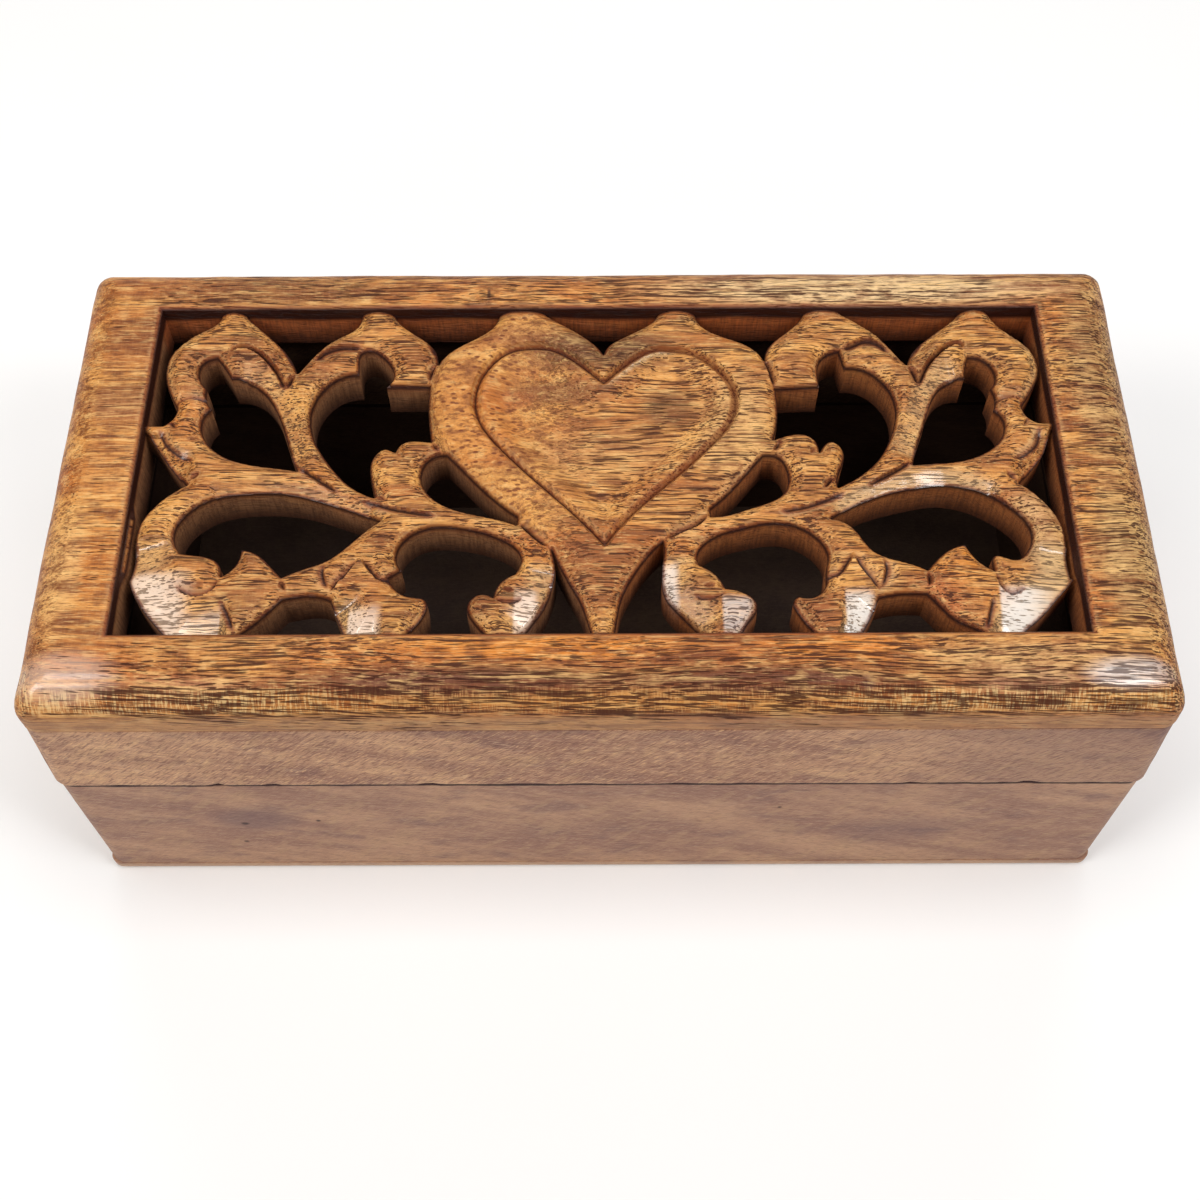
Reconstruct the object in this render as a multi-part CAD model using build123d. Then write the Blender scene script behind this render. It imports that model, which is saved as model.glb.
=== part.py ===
from build123d import *
import math
import os

# Keepsake box with a pierced and carved lid, in millimetres.
# X runs along the length, Y from the front to the hinged back, Z up.
# The origin is the centre of the underside, on the surface that the box stands on.

# Base
LENGTH = 200.0
DEPTH = 95.6
BASE_HEIGHT = 42.7
WALL = 9.0
BOTTOM_THICKNESS = 3.0
BOTTOM_EDGE_ROUND = 1.6
CORNER_ROUND = 2.2

# Lid
LID_HEIGHT = 33.3
LID_OVERHANG = 0.4
LID_END_LEAN = 1.5
BOARD_THICKNESS = 10.4
BULLNOSE_IN = 7.2
BULLNOSE_DOWN = 6.2

# Opening of the board that holds the carving, as margins from the lid's outer faces
SIDE_MARGIN = 15.4
FRONT_MARGIN = 13.7
BACK_MARGIN = 11.7
CARVING_DROP = 1.2
CARVING_MIDDLE = 1.0
HEART_RECESS = 1.0

# Hinges
OPEN_ANGLE = 104.0
STOP_CLEARANCE_ANGLE = 1.0
AXIS_INSET = 1.6
HINGE_SPACING = 124.0
HINGE_LENGTH = 25.0
LEAF_THICKNESS = 1.0
LEAF_MARGIN = 0.8
BARREL_RADIUS = 1.9
PIN_RADIUS = 0.9
PIN_HEAD_RADIUS = 1.4
PIN_HEAD_THICKNESS = 0.5
PIN_CLEARANCE = 0.05
KNUCKLE_GAP = 0.2
MORTISE_CLEARANCE = 0.1
BARREL_CLEARANCE = 0.3

# Hinge screws
SCREW_SPACING = 15.0
SCREW_EDGE_DISTANCE = 2.2
SCREW_HEAD_RADIUS = 1.6
SCREW_HEAD_HEIGHT = 0.8
SCREW_RADIUS = 0.8
SCREW_LENGTH = 7.0
SCREW_POINT = 1.6
SCREW_SINK = 0.1
SCREW_SLOT = 0.4

# Brads that hold the bottom panel
BRAD_RADIUS = 0.6
BRAD_HEAD_RADIUS = 1.1
BRAD_HEAD_HEIGHT = 0.6
BRAD_LENGTH = 12.0
BRAD_POINT = 1.5
BRAD_SINK = 0.1
BRAD_END_DISTANCE = 20.0
BRAD_ROW = 4

# Edges of the opening on the sheet that the carving is drawn on
LEFT = -83.0
FRONT = -33.3
BACK = 36.4

# Sizes that follow
HEIGHT = BASE_HEIGHT + LID_HEIGHT
LID_LENGTH = LENGTH + 2 * LID_OVERHANG
LID_DEPTH = DEPTH + 2 * LID_OVERHANG
BOARD_LENGTH = LID_LENGTH - 2 * LID_END_LEAN
LID_WALL = WALL + LID_OVERHANG
BOARD_UNDERSIDE = HEIGHT - BOARD_THICKNESS
OPENING_RIGHT = BOARD_LENGTH / 2 - SIDE_MARGIN
OPENING_FRONT = -LID_DEPTH / 2 + FRONT_MARGIN
OPENING_BACK = LID_DEPTH / 2 - BACK_MARGIN
AXIS_Y = DEPTH / 2 - AXIS_INSET
LEAF_WIDTH = WALL - AXIS_INSET - LEAF_MARGIN
SCREW_SETBACK = LEAF_WIDTH - SCREW_EDGE_DISTANCE
BEVEL_ANGLE = (OPEN_ANGLE + STOP_CLEARANCE_ANGLE) / 2
KNUCKLE_LENGTH = (HINGE_LENGTH - 2 * KNUCKLE_GAP) / 3
OVERSHOOT = 5.0

# The carving's piercings, left half. Each outline is a start point and the runs that
# follow it round: one point is a straight run, more are a smooth curve through them.
PIERCINGS = {
    "upper_loop_eye": (
        (-71.7, 26.4),
        [(-74.8, 24.2), (-74.6, 21.9), (-72.9, 19.2)],
        [(-72.6, 16.4), (-71.5, 14.7)],
        [(-72.9, 11.4), (-71.2, 6.8), (-68.0, 4.2), (-62.0, 2.3), (-54.4, 0.8)],
        [(-56.0, 4.9), (-58.1, 11.2), (-60.4, 16.4), (-63.9, 20.4), (-68.6, 21.7)],
        [(-70.1, 24.2), (-71.7, 26.4)],
    ),
    "upper_centre_eye": (
        (-39.5, 19.7),
        [(-31.5, 19.7)],
        [(-31.5, 15.4), (-31.2, 11.5), (-30.6, 7.2)],
        [(-33.3, 7.6), (-35.4, 7.3), (-37.0, 5.1)],
        [(-39.6, 5.6), (-41.0, 3.8), (-41.0, -0.9), (-40.1, -4.7)],
        [(-44.6, -2.3), (-48.8, 2.4), (-52.2, 8.5), (-52.8, 15.5), (-49.2, 21.2), (-44.8, 22.5)],
        [(-45.0, 26.7)],
        [(-43.4, 28.0), (-39.8, 25.8), (-38.3, 22.8), (-39.5, 19.7)],
    ),
    "lower_loop_eye": (
        (-38.9, -9.6),
        [(-46.2, -6.7), (-54.0, -4.2), (-62.0, -3.7), (-70.0, -5.6), (-74.6, -11.0), (-73.3, -16.3)],
        [(-69.7, -16.8), (-67.2, -17.6), (-65.6, -20.9)],
        [(-63.6, -19.2), (-62.6, -15.6)],
        [(-59.7, -16.6), (-57.0, -19.2), (-55.1, -21.3)],
        [(-51.5, -19.6), (-47.8, -18.0), (-43.3, -13.9), (-38.9, -9.6)],
    ),
    "heart_side_eye": (
        (-27.6, 4.3),
        [(-31.0, 3.0), (-32.0, -0.5), (-30.9, -3.5), (-26.5, -7.0), (-20.1, -8.8), (-14.6, -10.5)],
        [(-14.5, -8.9)],
        [(-17.5, -6.5), (-22.8, -1.0), (-27.6, 4.3)],
    ),
    "lower_centre_eye": (
        (-34.4, -19.8),
        [(-35.4, -16.0), (-32.6, -12.2), (-24.6, -11.3), (-18.0, -13.2), (-13.9, -16.6), (-14.6, -20.6)],
        [(-17.3, -22.4), (-18.3, -25.2)],
        [(-21.0, -24.6), (-22.7, -26.6), (-22.6, -28.2), (-21.5, -30.0), (-20.3, -31.6), (-18.9, FRONT)],
        [(-33.5, FRONT)],
        [(-31.7, -31.3), (-30.5, -29.6), (-29.7, -27.8), (-29.6, -26.2), (-30.6, -25.2)],
        [(-33.8, -24.8), (-36.6, -21.3)],
        [(-34.4, -19.8)],
    ),
    "tail_side_eye": (
        (-8.3, -16.0),
        [(-7.9, -17.6), (-7.6, -19.4), (-7.8, -21.5), (-8.4, -24.0), (-9.2, -26.4), (-10.7, -28.9),
         (-12.3, -31.2), (-14.1, FRONT)],
        [(-1.3, FRONT)],
        [(-2.3, -29.2), (-3.6, -25.7), (-5.6, -21.9), (-7.2, -18.4), (-8.3, -16.0)],
    ),
    "stem_gap": (
        (-54.6, -25.7),
        [(-52.2, -25.2), (-49.3, -24.9), (-46.3, -25.7)],
        [(-45.3, -28.2), (-43.1, FRONT)],
        [(-62.3, FRONT)],
        [(-60.8, -32.1), (-58.5, -30.0), (-56.4, -27.8), (-54.6, -25.7)],
    ),
    "side_gap_lower": (
        (LEFT, 9.4),
        [(-81.2, 7.4), (-79.4, 4.7), (-76.9, 1.4), (-74.0, -1.9)],
        [(-77.3, -4.5), (-79.6, -7.4), (-81.1, -10.4), (-81.2, -16.0), (-81.6, -21.5)],
        [(-78.8, -26.7), (-76.8, -29.1), (-74.5, -31.6), (-73.2, FRONT)],
        [(LEFT, FRONT)],
        [(LEFT, -23.0)],
        [(-82.2, -20.0)],
        [(-82.2, -9.5)],
        [(LEFT, -6.0)],
        [(LEFT, 9.4)],
    ),
    "side_gap_upper": (
        (LEFT, BACK),
        [(-72.0, BACK)],
        [(-73.9, 33.6), (-76.5, 32.2), (-78.3, 30.7), (-80.1, 28.6), (-81.2, 23.6), (-80.0, 19.0),
         (-77.8, 14.8)],
        [(-78.4, 12.4), (-79.9, 10.9)],
        [(LEFT, 10.9)],
        [(LEFT, BACK)],
    ),
    "back_gap_outer": (
        (-67.2, BACK),
        [(-64.4, 33.4), (-60.2, 29.2), (-56.4, 22.9)],
        [(-54.0, 26.6), (-50.6, 30.4), (-46.2, 33.4), (-45.3, BACK)],
        [(-67.2, BACK)],
    ),
    "back_gap_inner": (
        (-38.8, BACK),
        [(-36.4, 33.4), (-32.4, 30.2), (-30.1, 24.8)],
        [(-26.4, 29.0), (-21.0, 32.8), (-19.0, BACK)],
        [(-38.8, BACK)],
    ),
    "heart_notch_gap": (
        (0.0, BACK),
        [(-10.0, BACK)],
        [(-7.3, 34.5), (-5.3, 33.3), (-2.9, 31.5), (-1.0, 29.6), (0.0, 26.8)],
        [(0.0, BACK)],
    ),
}

# The recessed field inside the heart, left half, from its tip round to its notch
HEART_FIELD = (
    (0.0, -15.0),
    [(-5.6, -7.4), (-12.0, -0.9), (-18.6, 6.4), (-22.1, 12.0), (-22.6, 18.6), (-20.2, 24.2),
     (-16.6, 27.5), (-13.0, 28.3), (-9.3, 28.1), (-5.1, 25.9), (-2.7, 23.8), (0.0, 20.2)],
    [(0.0, -15.0)],
)

# The carving is freehand, so its right half wanders from a mirror image of the left half.
# Each row is a place on the left half and the drift there: x, y, outwards, to the back.
RIGHT_DRIFT = [
    (-30.1, 24.8, 1.1, 0.7), (-19.0, 36.4, -0.4, 0), (-38.8, 36.4, 0.3, 0), (-31.5, 19.7, 1.4, -0.6),
    (-39.5, 19.7, 1.6, -0.3), (-38.3, 22.8, 2.7, -0.4), (-45.0, 26.7, 0.3, 1.0), (-43.4, 28.0, 1.2, -0.4),
    (-44.8, 22.5, 1.3, 1.3), (-49.2, 21.2, 0.8, 1.8), (-52.8, 15.5, 1.9, 0.2), (-30.6, 7.2, 1.2, 0.2),
    (-35.4, 7.3, 2.3, 1.2), (-37.0, 5.1, 3.1, -0.4), (-39.6, 5.6, 3.7, 1.3), (-41.0, 3.8, 3.5, 1.2),
    (-40.1, -4.7, 2.8, 1.8), (-44.6, -2.3, 1.1, 1.0), (-52.2, 7.9, 1.3, 0), (-27.6, 4.3, 2.2, -0.4),
    (-32.0, -0.5, 2.1, 0.2), (-30.9, -3.5, 2.5, -0.2), (-26.5, -7.0, 0, -0.4), (-14.5, -9.7, 5.3, 1.5),
    (-22.8, -1.0, 2.6, -0.6), (-17.5, -6.5, 3.7, 0.3), (-22.5, 14.8, 2.5, 0), (-13.5, 28.2, 0.7, -0.5),
    (-14.4, 1.7, 1.8, 0), (-8.8, -4.2, 1.3, 0), (-2.2, -12.0, 1.2, 0), (-38.9, -9.6, 2.2, 0),
    (-43.3, -14.0, 2.0, 1.8), (-50.6, -19.3, 0, 1.8), (-55.1, -21.3, 2.0, 1.3), (-62.0, -3.7, 0, 1.4),
    (-74.5, -11.7, 1.4, -0.8), (-73.3, -16.3, 0.8, -1.1), (-65.6, -20.9, 3.0, 0.7), (-62.6, -15.6, 1.6, 0.6),
    (-13.9, -16.6, 3.2, -0.7), (-24.6, -11.4, 0, -0.4), (-32.6, -12.4, 1.8, 1.2), (-35.4, -16.0, 4.5, -0.9),
    (-34.4, -19.8, 5.0, 0.1), (-36.6, -21.3, 2.6, -1.9), (-30.6, -25.2, 3.7, 0.1), (-30.3, -29.9, 4.2, 0),
    (-22.7, -26.6, 4.4, 0), (-21.5, -30.0, 4.0, -0.1), (-18.9, -33.3, 4.9, 0), (-33.5, -33.3, 3.5, 0),
    (-21.0, -24.6, 5.0, -0.5), (-18.3, -25.2, 3.5, 1.6), (-17.3, -22.4, 3.6, 0.7), (-14.6, -20.6, 2.9, 1.6),
    (-8.3, -16.0, 2.9, 1.8), (-7.9, -17.6, 3.4, 0.6), (-7.6, -19.4, 3.4, 0), (-7.2, -18.4, 1.4, 1.4),
    (-7.8, -21.5, 3.1, 0), (-9.2, -26.4, 3.1, 0), (-12.2, -30.9, 4.3, 0), (-5.6, -21.9, 0, 0.2),
    (-4.0, -24.7, 0.2, 0), (-2.3, -29.2, 0.8, 0), (-1.6, -32.7, 1.1, 0), (-46.3, -25.7, 1.8, 0),
    (-43.6, -31.8, 0.7, 0), (-55.1, -25.4, 1.9, 0.9), (-58.5, -30.0, 2.4, 0), (-60.8, -32.0, 3.8, 0),
    (-49.3, -24.9, 1.8, 0), (-74.0, -1.9, 1.4, -0.4), (-79.4, 4.7, 1.5, 0), (-81.2, 7.4, 0.8, 0),
    (-77.3, -4.5, 0.8, 0), (-81.1, -10.1, 0.5, 0), (-78.7, -26.7, -0.9, 0), (-74.5, -31.6, -1.8, 0),
    (-81.5, -20.5, 0.4, -0.8), (-77.8, 14.8, 0.4, 0), (-81.1, 23.6, 1.4, 0), (-72.0, 36.4, 2.7, 0),
    (-80.1, 28.5, 0.9, 0), (-72.9, 11.4, 1.5, -1.0), (-71.2, 6.8, 1.3, -0.5), (-62.0, 2.3, 0, 0),
    (-54.4, 0.8, 2.4, 1.1), (-57.7, 9.7, 1.8, 0), (-60.4, 16.4, 1.2, -0.3), (-68.6, 21.7, -0.2, -0.4),
    (-71.7, 26.4, -2.1, -0.3), (-56.4, 22.9, 1.5, 1.5), (-50.6, 30.4, 2.5, 0.8), (-46.2, 33.5, 2.5, 1.5),
    (-45.3, 36.4, 1.1, 0), (-60.2, 29.2, 0.5, 0), (-65.6, 33.4, 1.2, 0), (-7.3, 34.5, 2.5, 0),
    (-5.3, 33.3, 2.8, 0), (-2.9, 31.5, 2.3, 0), (-1.0, 29.6, 1.5, 0), (-9.9, 36.4, 1.2, 0),
]
DRIFT_SOFTNESS = 0.06


def drift(x, y):
    """How far the right half has wandered at a place: the mean of the drifts, nearest ones first."""
    weights = [1 / ((x - px) ** 2 + (y - py) ** 2 + DRIFT_SOFTNESS) ** 2 for px, py, _, _ in RIGHT_DRIFT]
    total = sum(weights)
    outwards = sum(weight * row[2] for weight, row in zip(weights, RIGHT_DRIFT)) / total
    backwards = sum(weight * row[3] for weight, row in zip(weights, RIGHT_DRIFT)) / total
    return (0 if x == LEFT else outwards, 0 if y in (FRONT, BACK) else backwards)


def place(point, side):
    """A point of the carving's sheet on the opening, on the left (1) or the right (-1).

    The two halves meet where x is 0 on the sheet, a little to the right of the box's middle.
    """
    x, y = point
    if side < 0 and x < 0:
        outwards, backwards = drift(x, y)
        x, y = x - outwards, y + backwards
    across = -side * OPENING_RIGHT * x / LEFT if x < 0 else CARVING_MIDDLE
    along = (y - FRONT) / (BACK - FRONT)
    return (across, OPENING_FRONT + along * (OPENING_BACK - OPENING_FRONT))


def pierced_face(drawing, side):
    """The flat face inside one outline of the carving."""
    here, *runs = drawing
    edges = []
    for run in runs:
        points = [place(point, side) for point in (here, *run)]
        edges.append(Line(*points) if len(points) == 2 else Spline(*points))
        here = run[-1]
    return make_face(Wire(edges))


def slab(face, bottom, top):
    """A flat face extruded between two heights."""
    return Pos(0, 0, bottom) * extrude(face, top - bottom)


def block(x_range, y_range, z_range):
    """A box between two values on each axis."""
    (x0, x1), (y0, y1), (z0, z1) = x_range, y_range, z_range
    return Pos((x0 + x1) / 2, (y0 + y1) / 2, (z0 + z1) / 2) * Box(x1 - x0, y1 - y0, z1 - z0)


def rod(radius, x0, x1):
    """A round bar along the hinge axis."""
    return Pos((x0 + x1) / 2, AXIS_Y, BASE_HEIGHT) * Rot(0, 90, 0) * Cylinder(radius, x1 - x0)


def base_ring():
    """The base's walls in one, with rounded outer corners and square inner ones."""
    outer = RectangleRounded(LENGTH, DEPTH, CORNER_ROUND)
    inner = Rectangle(LENGTH - 2 * WALL, DEPTH - 2 * WALL)
    return slab(outer - inner, BOTTOM_THICKNESS, BASE_HEIGHT)


def mitred(ring, length, depth):
    """The ring cut on its diagonals into front, back, left and right walls."""
    reach = depth / 2 + OVERSHOOT
    ridge = length / 2 - depth / 2
    half = length / 2 + OVERSHOOT
    front = Polygon((-half, -reach), (half, -reach), (ridge, 0), (-ridge, 0), align=None)
    left = Polygon((-half, -reach), (-ridge, 0), (-half, reach), align=None)
    cutters = {"front": front, "left": left}
    cutters["back"] = mirror(front, Plane.XZ)
    cutters["right"] = mirror(left, Plane.YZ)
    return {name: ring & slab(face, -OVERSHOOT, HEIGHT + OVERSHOOT) for name, face in cutters.items()}


def back_bevel(direction):
    """The wedge cut along the back at the seam: below it (-1) in the base, above it (1) in the lid."""
    run = LID_DEPTH / 2 - AXIS_Y + OVERSHOOT
    rise = direction * run * math.tan(math.radians(BEVEL_ANGLE))
    corner = (AXIS_Y, BASE_HEIGHT)
    tip = (AXIS_Y + run, BASE_HEIGHT)
    triangle = Plane.YZ * make_face(Polyline(corner, tip, (AXIS_Y + run, BASE_HEIGHT + rise), close=True))
    return Pos(-LENGTH, 0, 0) * extrude(triangle, 2 * LENGTH, dir=(1, 0, 0))


def hinge_centres():
    """The middle of each hinge along X."""
    return {"left": -HINGE_SPACING / 2, "right": HINGE_SPACING / 2}


def hinge_recess(centre, direction):
    """What one wall loses to a hinge: the leaf's mortise and room for the barrel."""
    half = HINGE_LENGTH / 2 + MORTISE_CLEARANCE
    z_range = sorted((BASE_HEIGHT, BASE_HEIGHT + direction * LEAF_THICKNESS))
    y_range = (AXIS_Y - LEAF_WIDTH - MORTISE_CLEARANCE, DEPTH)
    mortise = block((centre - half, centre + half), y_range, z_range)
    end = HINGE_LENGTH / 2 + PIN_HEAD_THICKNESS + BARREL_CLEARANCE
    return mortise + rod(BARREL_RADIUS + BARREL_CLEARANCE, centre - end, centre + end)


def knuckle_spans(centre):
    """The three knuckles' ranges along X, in order."""
    start = centre - HINGE_LENGTH / 2
    pitch = KNUCKLE_LENGTH + KNUCKLE_GAP
    return [(start + pitch * index, start + pitch * index + KNUCKLE_LENGTH) for index in range(3)]


def screw(direction):
    """A countersunk slotted screw, head up (-1, into the base) or head down (1, into the lid)."""
    points = (
        (0, 0),
        (SCREW_HEAD_RADIUS, 0),
        (SCREW_RADIUS, SCREW_HEAD_HEIGHT),
        (SCREW_RADIUS, SCREW_LENGTH - SCREW_POINT),
        (0, SCREW_LENGTH),
    )
    body = revolve(Plane.XZ * make_face(Polyline(*points, close=True)), Axis.Z)
    slot = Box(4 * SCREW_HEAD_RADIUS, SCREW_SLOT, SCREW_HEAD_HEIGHT)
    return Rot(0 if direction > 0 else 180, 0, 0) * (body - slot)


def screw_places(centre, direction):
    """Where a leaf's two screws sit, with the heads just under the leaf's face."""
    z = BASE_HEIGHT + direction * SCREW_SINK
    y = AXIS_Y - SCREW_SETBACK
    return [Pos(centre + offset, y, z) for offset in (-SCREW_SPACING / 2, SCREW_SPACING / 2)]


def screw_room(centre, direction):
    """The countersunk holes for a leaf's two screws, open to the leaf's face."""
    points = (
        (0, -SCREW_SINK),
        (SCREW_HEAD_RADIUS, -SCREW_SINK),
        (SCREW_HEAD_RADIUS, 0),
        (SCREW_RADIUS, SCREW_HEAD_HEIGHT),
        (SCREW_RADIUS, SCREW_LENGTH - SCREW_POINT),
        (0, SCREW_LENGTH),
    )
    hole = revolve(Plane.XZ * make_face(Polyline(*points, close=True)), Axis.Z)
    turned = Rot(0 if direction > 0 else 180, 0, 0) * hole
    return [spot * turned for spot in screw_places(centre, direction)]


def hinge_leaf(centre, direction, knuckles, bore):
    """One leaf: a plate let into the wall, with tongues out to its own knuckles."""
    half = HINGE_LENGTH / 2
    z_range = sorted((BASE_HEIGHT, BASE_HEIGHT + direction * LEAF_THICKNESS))
    plate_end = AXIS_Y - BARREL_RADIUS - KNUCKLE_GAP
    leaf = block((centre - half, centre + half), (AXIS_Y - LEAF_WIDTH, plate_end), z_range)
    for start, end in knuckles:
        leaf += block((start, end), (AXIS_Y - LEAF_WIDTH, AXIS_Y), z_range)
        leaf += rod(BARREL_RADIUS, start, end)
    leaf -= rod(bore, centre - half - OVERSHOOT, centre + half + OVERSHOOT)
    for hole in screw_room(centre, direction):
        leaf -= hole
    return leaf


def hinge_pin(centre):
    """The pin with a peened head at each end."""
    half = HINGE_LENGTH / 2
    pin = rod(PIN_RADIUS, centre - half, centre + half)
    pin += rod(PIN_HEAD_RADIUS, centre - half - PIN_HEAD_THICKNESS, centre - half)
    return pin + rod(PIN_HEAD_RADIUS, centre + half, centre + half + PIN_HEAD_THICKNESS)


def brad_places():
    """The brads' places: a row along the front and back walls and one in each side wall."""
    row_y = DEPTH / 2 - WALL / 2
    row_end = LENGTH / 2 - BRAD_END_DISTANCE
    pitch = 2 * row_end / (BRAD_ROW - 1)
    row = [(-row_end + pitch * index, sign * row_y) for index in range(BRAD_ROW) for sign in (-1, 1)]
    sides = [(sign * (LENGTH / 2 - WALL / 2), 0) for sign in (-1, 1)]
    return [Pos(x, y, BRAD_SINK) for x, y in row + sides]


def brad(head_bottom):
    """A round-headed brad, head down, with its head's underside at head_bottom."""
    points = (
        (0, head_bottom),
        (BRAD_HEAD_RADIUS, head_bottom),
        (BRAD_HEAD_RADIUS, BRAD_HEAD_HEIGHT),
        (BRAD_RADIUS, BRAD_HEAD_HEIGHT),
        (BRAD_RADIUS, BRAD_LENGTH - BRAD_POINT),
        (0, BRAD_LENGTH),
    )
    return revolve(Plane.XZ * make_face(Polyline(*points, close=True)), Axis.Z)


def bullnosed(length):
    """The end view of the board: flat underneath, a quarter ellipse over each top edge."""
    half = length / 2
    shoulder = HEIGHT - BULLNOSE_DOWN
    left = EllipticalCenterArc((-half + BULLNOSE_IN, shoulder), BULLNOSE_IN, BULLNOSE_DOWN, 90, arc_size=90)
    right = EllipticalCenterArc((half - BULLNOSE_IN, shoulder), BULLNOSE_IN, BULLNOSE_DOWN, 0, arc_size=90)
    top = Line((half - BULLNOSE_IN, HEIGHT), (-half + BULLNOSE_IN, HEIGHT))
    sides = Polyline(
        (-half, shoulder), (-half, BOARD_UNDERSIDE), (half, BOARD_UNDERSIDE), (half, shoulder)
    )
    return make_face(Wire([*right.edges(), *top.edges(), *left.edges(), *sides.edges()]))


def carved_panel():
    """The lid's top board: one plank with a bullnose all round and the pierced carving in it."""
    across = Plane.XZ * bullnosed(BOARD_LENGTH)
    along = Plane.YZ * bullnosed(LID_DEPTH)
    board = extrude(across, LID_DEPTH / 2, both=True) & extrude(along, BOARD_LENGTH / 2, both=True)
    board &= slab(RectangleRounded(BOARD_LENGTH, LID_DEPTH, CORNER_ROUND), BOARD_UNDERSIDE, HEIGHT)
    carving_top = HEIGHT - CARVING_DROP
    x_range = (-OPENING_RIGHT, OPENING_RIGHT)
    board -= block(x_range, (OPENING_FRONT, OPENING_BACK), (carving_top, HEIGHT + OVERSHOOT))
    for drawing in PIERCINGS.values():
        for side in (1, -1):
            board -= slab(pierced_face(drawing, side), BOARD_UNDERSIDE - OVERSHOOT, HEIGHT + OVERSHOOT)
    for side in (1, -1):
        board -= slab(pierced_face(HEART_FIELD, side), carving_top - HEART_RECESS, HEIGHT + OVERSHOOT)
    return board


def lid_ring():
    """The lid's rails in one, with ends that lean in from the seam up to the board."""
    lower = Pos(0, 0, BASE_HEIGHT) * RectangleRounded(LID_LENGTH, LID_DEPTH, CORNER_ROUND)
    upper = Pos(0, 0, BOARD_UNDERSIDE) * RectangleRounded(BOARD_LENGTH, LID_DEPTH, CORNER_ROUND)
    inner = Rectangle(LID_LENGTH - 2 * LID_WALL, LID_DEPTH - 2 * LID_WALL)
    return loft([lower, upper], ruled=True) - slab(inner, BASE_HEIGHT - OVERSHOOT, HEIGHT)


def lid_rails():
    """The lid's four mitred rails, under the board."""
    ring = lid_ring() - back_bevel(1)
    rails = mitred(ring, LID_LENGTH, LID_DEPTH)
    for centre in hinge_centres().values():
        rails["back"] -= hinge_recess(centre, 1)
        for hole in screw_room(centre, 1):
            rails["back"] -= hole
    return rails


def base_walls():
    """The base's four mitred walls, on the bottom panel."""
    ring = base_ring() - back_bevel(-1)
    walls = mitred(ring, LENGTH, DEPTH)
    for centre in hinge_centres().values():
        walls["back"] -= hinge_recess(centre, -1)
        for hole in screw_room(centre, -1):
            walls["back"] -= hole
    for spot in brad_places():
        hole = spot * brad(-BRAD_SINK)
        for name in walls:
            walls[name] -= hole
    return walls


def bottom_panel():
    """The thin panel under the walls, its edges in line with their faces."""
    panel = slab(RectangleRounded(LENGTH, DEPTH, CORNER_ROUND), 0, BOTTOM_THICKNESS)
    panel = fillet(panel.edges().group_by(Axis.Z)[0], BOTTOM_EDGE_ROUND)
    for spot in brad_places():
        panel -= spot * brad(-BRAD_SINK)
    return panel


def build():
    """Every piece by its name."""
    parts = {"lid_carved_panel": carved_panel(), "base_bottom_panel": bottom_panel()}
    for name, rail in lid_rails().items():
        parts[f"lid_{name}_rail"] = rail
    for name, wall in base_walls().items():
        parts[f"base_{name}_wall"] = wall
    lid_screws, base_screws = [], []
    for side, centre in hinge_centres().items():
        outer_left, middle, outer_right = knuckle_spans(centre)
        parts[f"hinge_{side}_base_leaf"] = hinge_leaf(centre, -1, [outer_left, outer_right], PIN_RADIUS)
        parts[f"hinge_{side}_lid_leaf"] = hinge_leaf(centre, 1, [middle], PIN_RADIUS + PIN_CLEARANCE)
        parts[f"hinge_{side}_pin"] = hinge_pin(centre)
        base_screws += [spot * screw(-1) for spot in screw_places(centre, -1)]
        lid_screws += [spot * screw(1) for spot in screw_places(centre, 1)]
    parts["base_hinge_screws"] = Compound(base_screws)
    parts["lid_hinge_screws"] = Compound(lid_screws)
    parts["bottom_panel_brads"] = Compound([spot * brad(0) for spot in brad_places()])
    return parts


os.makedirs("parts", exist_ok=True)
for part_name, shape in build().items():
    export_step(shape, f"parts/{part_name}.step")
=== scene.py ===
import bmesh
import bpy
import numpy as np
from mathutils import Matrix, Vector
from mathutils.geometry import delaunay_2d_cdt


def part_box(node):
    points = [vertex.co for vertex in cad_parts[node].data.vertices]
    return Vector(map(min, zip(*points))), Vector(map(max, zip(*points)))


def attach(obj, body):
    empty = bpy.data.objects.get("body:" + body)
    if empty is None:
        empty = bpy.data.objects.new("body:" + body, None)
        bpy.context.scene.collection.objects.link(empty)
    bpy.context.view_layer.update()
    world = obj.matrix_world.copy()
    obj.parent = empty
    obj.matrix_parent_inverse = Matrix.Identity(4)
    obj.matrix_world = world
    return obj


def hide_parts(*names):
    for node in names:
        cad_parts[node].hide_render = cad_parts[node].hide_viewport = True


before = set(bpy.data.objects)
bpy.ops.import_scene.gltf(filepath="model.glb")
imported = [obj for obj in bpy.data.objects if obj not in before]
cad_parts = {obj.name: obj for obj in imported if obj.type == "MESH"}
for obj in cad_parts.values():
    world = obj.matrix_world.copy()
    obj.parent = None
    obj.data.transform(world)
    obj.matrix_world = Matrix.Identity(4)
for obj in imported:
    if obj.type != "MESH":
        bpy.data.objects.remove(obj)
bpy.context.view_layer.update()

MM = 0.001

# ---- sizes from the frame, mm


def node_box(node):
    """A node's lowest and highest corners in millimetres."""
    low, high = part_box(node)
    return np.array(low) / MM, np.array(high) / MM


BOARD_LOW, BOARD_HIGH = node_box("lid_carved_panel")
BOARD_MIDDLE = (BOARD_HIGH[:2] + BOARD_LOW[:2]) / 2
UNDERSIDE, TOP = BOARD_LOW[2], BOARD_HIGH[2]

# ---- how the board is finished, mm

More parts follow.
